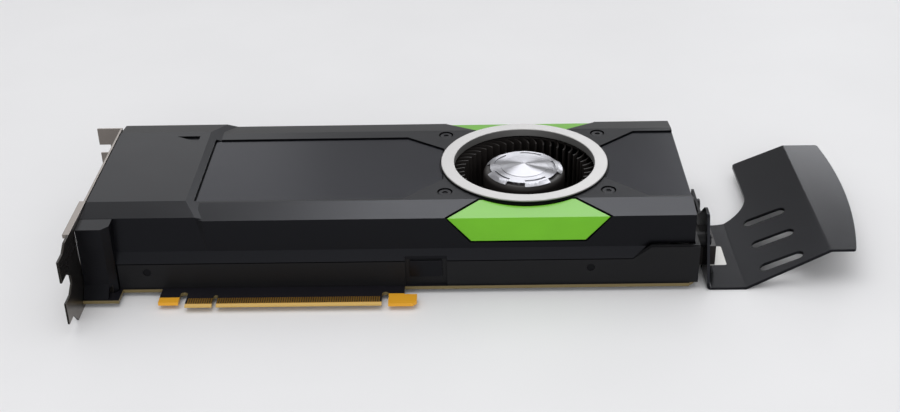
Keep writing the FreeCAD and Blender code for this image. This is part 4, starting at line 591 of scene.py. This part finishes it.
# %% Grid for the block of the wide display socket
SLEEVE_WALL = 0.6
BLOCK_BEHIND = 0.6
COLUMNS, ROWS = 25, 7
low, high = (Vector(corner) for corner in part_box("dvi_sleeve"))
wide = high.y - low.y - 2 * SLEEVE_WALL * MM
tall = high.z - low.z - 2 * SLEEVE_WALL * MM
middle = (low + high) / 2
middle.x = low.x + BLOCK_BEHIND * MM
outwards = Matrix(((0, 0, -1), (-1, 0, 0), (0, 1, 0)))
bpy.ops.object.select_all(action="DESELECT")
bpy.ops.mesh.primitive_grid_add(x_subdivisions=COLUMNS, y_subdivisions=ROWS, size=1,
                                location=middle, rotation=outwards.to_euler())
socket_block = bpy.context.object
socket_block.name = "socket_block"
socket_block.scale = (wide, tall, 1)
bpy.ops.object.transform_apply(location=True, rotation=True, scale=True)
print("block of", round(wide / MM, 1), "by", round(tall / MM, 1), "mm")

# %% [markdown]
# The cells of the holes are picked by their column and row.
# Contacts take every other column of the first sixteen, in every other row,
# and the blade takes one long run in the middle row.

# %% Pick the holes
CONTACT_COLUMNS = 16
BLADE_COLUMNS = range(18, 24)
bpy.ops.object.mode_set(mode="EDIT")
bpy.ops.mesh.select_mode(type="FACE")
bpy.ops.mesh.select_all(action="DESELECT")
bpy.ops.object.mode_set(mode="OBJECT")
holes = 0
for face in socket_block.data.polygons:
    column = int((middle.y + wide / 2 - face.center.y) / wide * COLUMNS)
    row = int((face.center.z - middle.z + tall / 2) / tall * ROWS)
    contact = column < CONTACT_COLUMNS and column % 2 == 1 and row % 2 == 1
    blade = column in BLADE_COLUMNS and row == ROWS // 2
    face.select = contact or blade
    holes += contact
print("contact holes:", holes)

# %% [markdown]
# The picked cells are pushed in by an extrude,
# and the open border is drawn back to the floor of the sleeve and closed,
# so that the block is a solid body with holes and not a sheet.

# %% Push in the holes and close the block
HOLE_DEEP = 0.8
BLOCK_THICK = 1.2
bpy.ops.object.mode_set(mode="EDIT")
bpy.ops.mesh.extrude_region_move(TRANSFORM_OT_translate={"value": (HOLE_DEEP * MM, 0, 0)})
bpy.ops.mesh.select_mode(type="EDGE")
bpy.ops.mesh.select_all(action="DESELECT")
bpy.ops.mesh.select_non_manifold()
bpy.ops.mesh.extrude_edges_move(TRANSFORM_OT_translate={"value": (BLOCK_THICK * MM, 0, 0)})
bpy.ops.mesh.edge_face_add()
bpy.ops.mesh.select_all(action="SELECT")
bpy.ops.mesh.normals_make_consistent(inside=False)
bpy.ops.object.mode_set(mode="OBJECT")
socket_block.data.materials.append(finishes["dark_plastic"])
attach(socket_block, "card")
print(socket_block.name, len(socket_block.data.polygons), "faces")

# %% [markdown]
# A blank paper label lies on the low panel of the extender.
# It could be a white patch in the coat's shader, but paper has a thickness and an edge that shows.
# So it is a plane cut to size, given rounded corners by a vertex bevel,
# and pulled up by the thickness of the paper.
# A ray down onto the sheet finds how high the panel lies there.

# %% Blank label
LABEL_X = (217.2, 226.6)
LABEL_Y = (31.5, 47.5)
LABEL_THICK = 0.15
LABEL_CORNER = 0.8
CORNER_STEPS = 4
ABOVE_ALL = 60
above = Vector((sum(LABEL_X) / 2, sum(LABEL_Y) / 2, ABOVE_ALL)) * MM
seat = soft_pieces["extender_bracket"].ray_cast(above, Vector((0, 0, -1)))[1]
bpy.ops.object.select_all(action="DESELECT")
bpy.ops.mesh.primitive_plane_add(size=1, location=seat)
label = bpy.context.object
label.name = "blank_label"
label.scale = ((LABEL_X[1] - LABEL_X[0]) * MM, (LABEL_Y[1] - LABEL_Y[0]) * MM, 1)
bpy.ops.object.transform_apply(location=True, rotation=True, scale=True)
bpy.ops.object.mode_set(mode="EDIT")
bpy.ops.mesh.select_all(action="SELECT")
bpy.ops.mesh.bevel(offset=LABEL_CORNER * MM, segments=CORNER_STEPS, affect="VERTICES")
bpy.ops.mesh.select_all(action="SELECT")
bpy.ops.mesh.extrude_region_move(TRANSFORM_OT_translate={"value": (0, 0, LABEL_THICK * MM)})
bpy.ops.mesh.select_all(action="SELECT")
bpy.ops.mesh.normals_make_consistent(inside=False)
bpy.ops.object.mode_set(mode="OBJECT")
# A matt coat on the paper scatters the light: even white without a highlight.
paper, tree, shader, place = start_finish(
    "Label paper, matt coated", "#E8E7E3", {"Specular IOR Level": 0.3})
grain(tree, shader, place, patch=0.8, height=0.004, rough=(0.5, 0.62))
label.data.materials.append(paper)
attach(label, "card")
print("label seated at", seat)

# %% [markdown]
# The card lies on a matt white table. A curved backdrop would hide the horizon,
# but the camera looks down and sees none,
# so one large plane under the lowest point of the card is enough.
# Its paint is slightly uneven, as a real table's is.

# %% Table
TABLE_SIDE = 8.0
TABLE_MIDDLE = (0.11, 0.06)
PAINT_CLOUD = 90
PAINT_DARK = "#E5E5E7"
PAINT_PALE = "#ECECEE"
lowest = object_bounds()[0].z
bpy.ops.object.select_all(action="DESELECT")
bpy.ops.mesh.primitive_plane_add(size=TABLE_SIDE, location=(*TABLE_MIDDLE, lowest))
table = bpy.context.object
table.name = "table"
bpy.ops.object.transform_apply(location=True, rotation=True, scale=True)
# Matt paint mirrors nothing: the card leaves only its soft shadow.
white_paint, tree, shader, place = start_finish(
    "Table paint, matt white", PAINT_DARK, {"Specular IOR Level": 0.2, "Roughness": 0.6})
uneven = add_node(tree, "ShaderNodeTexNoise",
                  {"Vector": place, "Scale": every(PAINT_CLOUD), "Detail": 3.0})
shade = add_node(tree, "ShaderNodeMix",
                 {"Factor": uneven.outputs["Fac"], "A": linear(PAINT_DARK),
                  "B": linear(PAINT_PALE)}, data_type="RGBA")
tree.links.new(shade.outputs["Result"], shader.inputs["Base Color"])
table.data.materials.append(white_paint)
table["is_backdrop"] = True
print("table at", round(lowest / MM, 2), "mm")

# %% [markdown]
# A white room gives most of the light, so shadows are soft and no side of the card is lost.
# Walls could be built for it, but the world's background does the same,
# costs nothing to render and has no edges to mirror.

# %% White room
ROOM_LIGHT = 0.62
world = bpy.data.worlds.new("White room")
bpy.context.scene.world = world
world.use_nodes = True
background = world.node_tree.nodes["Background"]
background.inputs["Color"].default_value = linear("#FFFFFF")
background.inputs["Strength"].default_value = ROOM_LIGHT
print(world.name, "at", ROOM_LIGHT)

# %% [markdown]
# A soft box overhead and a low one in front shape the light,
# and the low one also lights the table under the raised end of the extender.
# Black gloss is seen by what it mirrors, so three reflection panels stand behind the card:
# a high one for the slope along the front, one to the left for the block beside the bracket,
# and a low one to the right for the raised end of the extender.
# They could be white boards, but a lamp that only mirror-like rays see
# adds sheen and no second shadow.
# Each faces the middle of the card. A lamp's power is its brightness times its area times pi.

# %% Soft boxes and reflection panels
PANEL_TINT = "#FBFCFF"
card_middle = (bounds_at_load[0] + bounds_at_load[1]) / 2


def soft_box(name, place, wide, high, brightness):
    """A rectangular lamp at a place in metres that faces the card."""
    place = Vector(place)
    bpy.ops.object.light_add(type="AREA", location=place)
    lamp = bpy.context.object
    lamp.name = name
    lamp.data.shape = "RECTANGLE"
    lamp.data.size = wide
    lamp.data.size_y = high
    lamp.data.energy = brightness * wide * high * math.pi
    lamp.rotation_euler = (place - card_middle).to_track_quat("Z", "Y").to_euler()
    return lamp


lights = [
    soft_box("overhead", (-0.10, -0.05, 1.30), wide=1.2, high=1.0, brightness=1.5),
    soft_box("front", (0.20, -1.60, 0.70), wide=1.6, high=0.7, brightness=2.3),
]
panels = [
    soft_box("high behind", (0.46, 1.07, 1.37), wide=1.4, high=0.75, brightness=7.5),
    soft_box("left behind", (-0.57, 1.58, 0.85), wide=0.8, high=0.6, brightness=1.3),
    soft_box("right behind", (0.83, 1.77, 0.62), wide=0.5, high=0.5, brightness=6.5),
]
for panel in panels:
    panel.visible_diffuse = False
    panel.data.color = linear(PANEL_TINT)[:3]
for lamp in lights + panels:
    print(lamp.name, round(lamp.data.energy, 2), "W")

# %% [markdown]
# The camera stands where the photograph was taken:
# in front of the contacts, looking down at about thirty degrees.
# It could be set by eye, but its place, heading and lens come from matching
# the card's known sizes to where they fall in the picture,
# which puts every edge where it belongs.

# %% Camera
CAMERA_PLACE = Vector((111.48, -472.05, 315.35)) * MM
LOOK_DOWN = 29.47
HEADING = 1.02
ROLL = -1.24
SENSOR_WIDE = 36.0
LENS = 52.61
bpy.ops.object.camera_add(location=CAMERA_PLACE)
camera = bpy.context.object
camera.name = "camera"
aim = (Matrix.Rotation(math.radians(HEADING), 3, "Z")
       @ Matrix.Rotation(math.radians(90 - LOOK_DOWN), 3, "X")
       @ Matrix.Rotation(math.radians(ROLL), 3, "Z"))
camera.rotation_euler = aim.to_euler()
camera.data.sensor_fit = "HORIZONTAL"
camera.data.sensor_width = SENSOR_WIDE
camera.data.lens = LENS
bpy.context.scene.camera = camera
bpy.context.scene.view_settings.view_transform = "Standard"
print("camera right", [round(v, 4) for v in aim.col[0]], "up", [round(v, 4) for v in aim.col[1]])

# %% [markdown]
# The looks must not change the card's size,
# so its box is measured again and kept beside the first.

# %% Sizes before and after
bounds_at_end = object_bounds()
grown = [round((b - a) / MM, 3) for a, b in zip(bounds_at_load[1], bounds_at_end[1])]
print("grown by", grown, "mm")
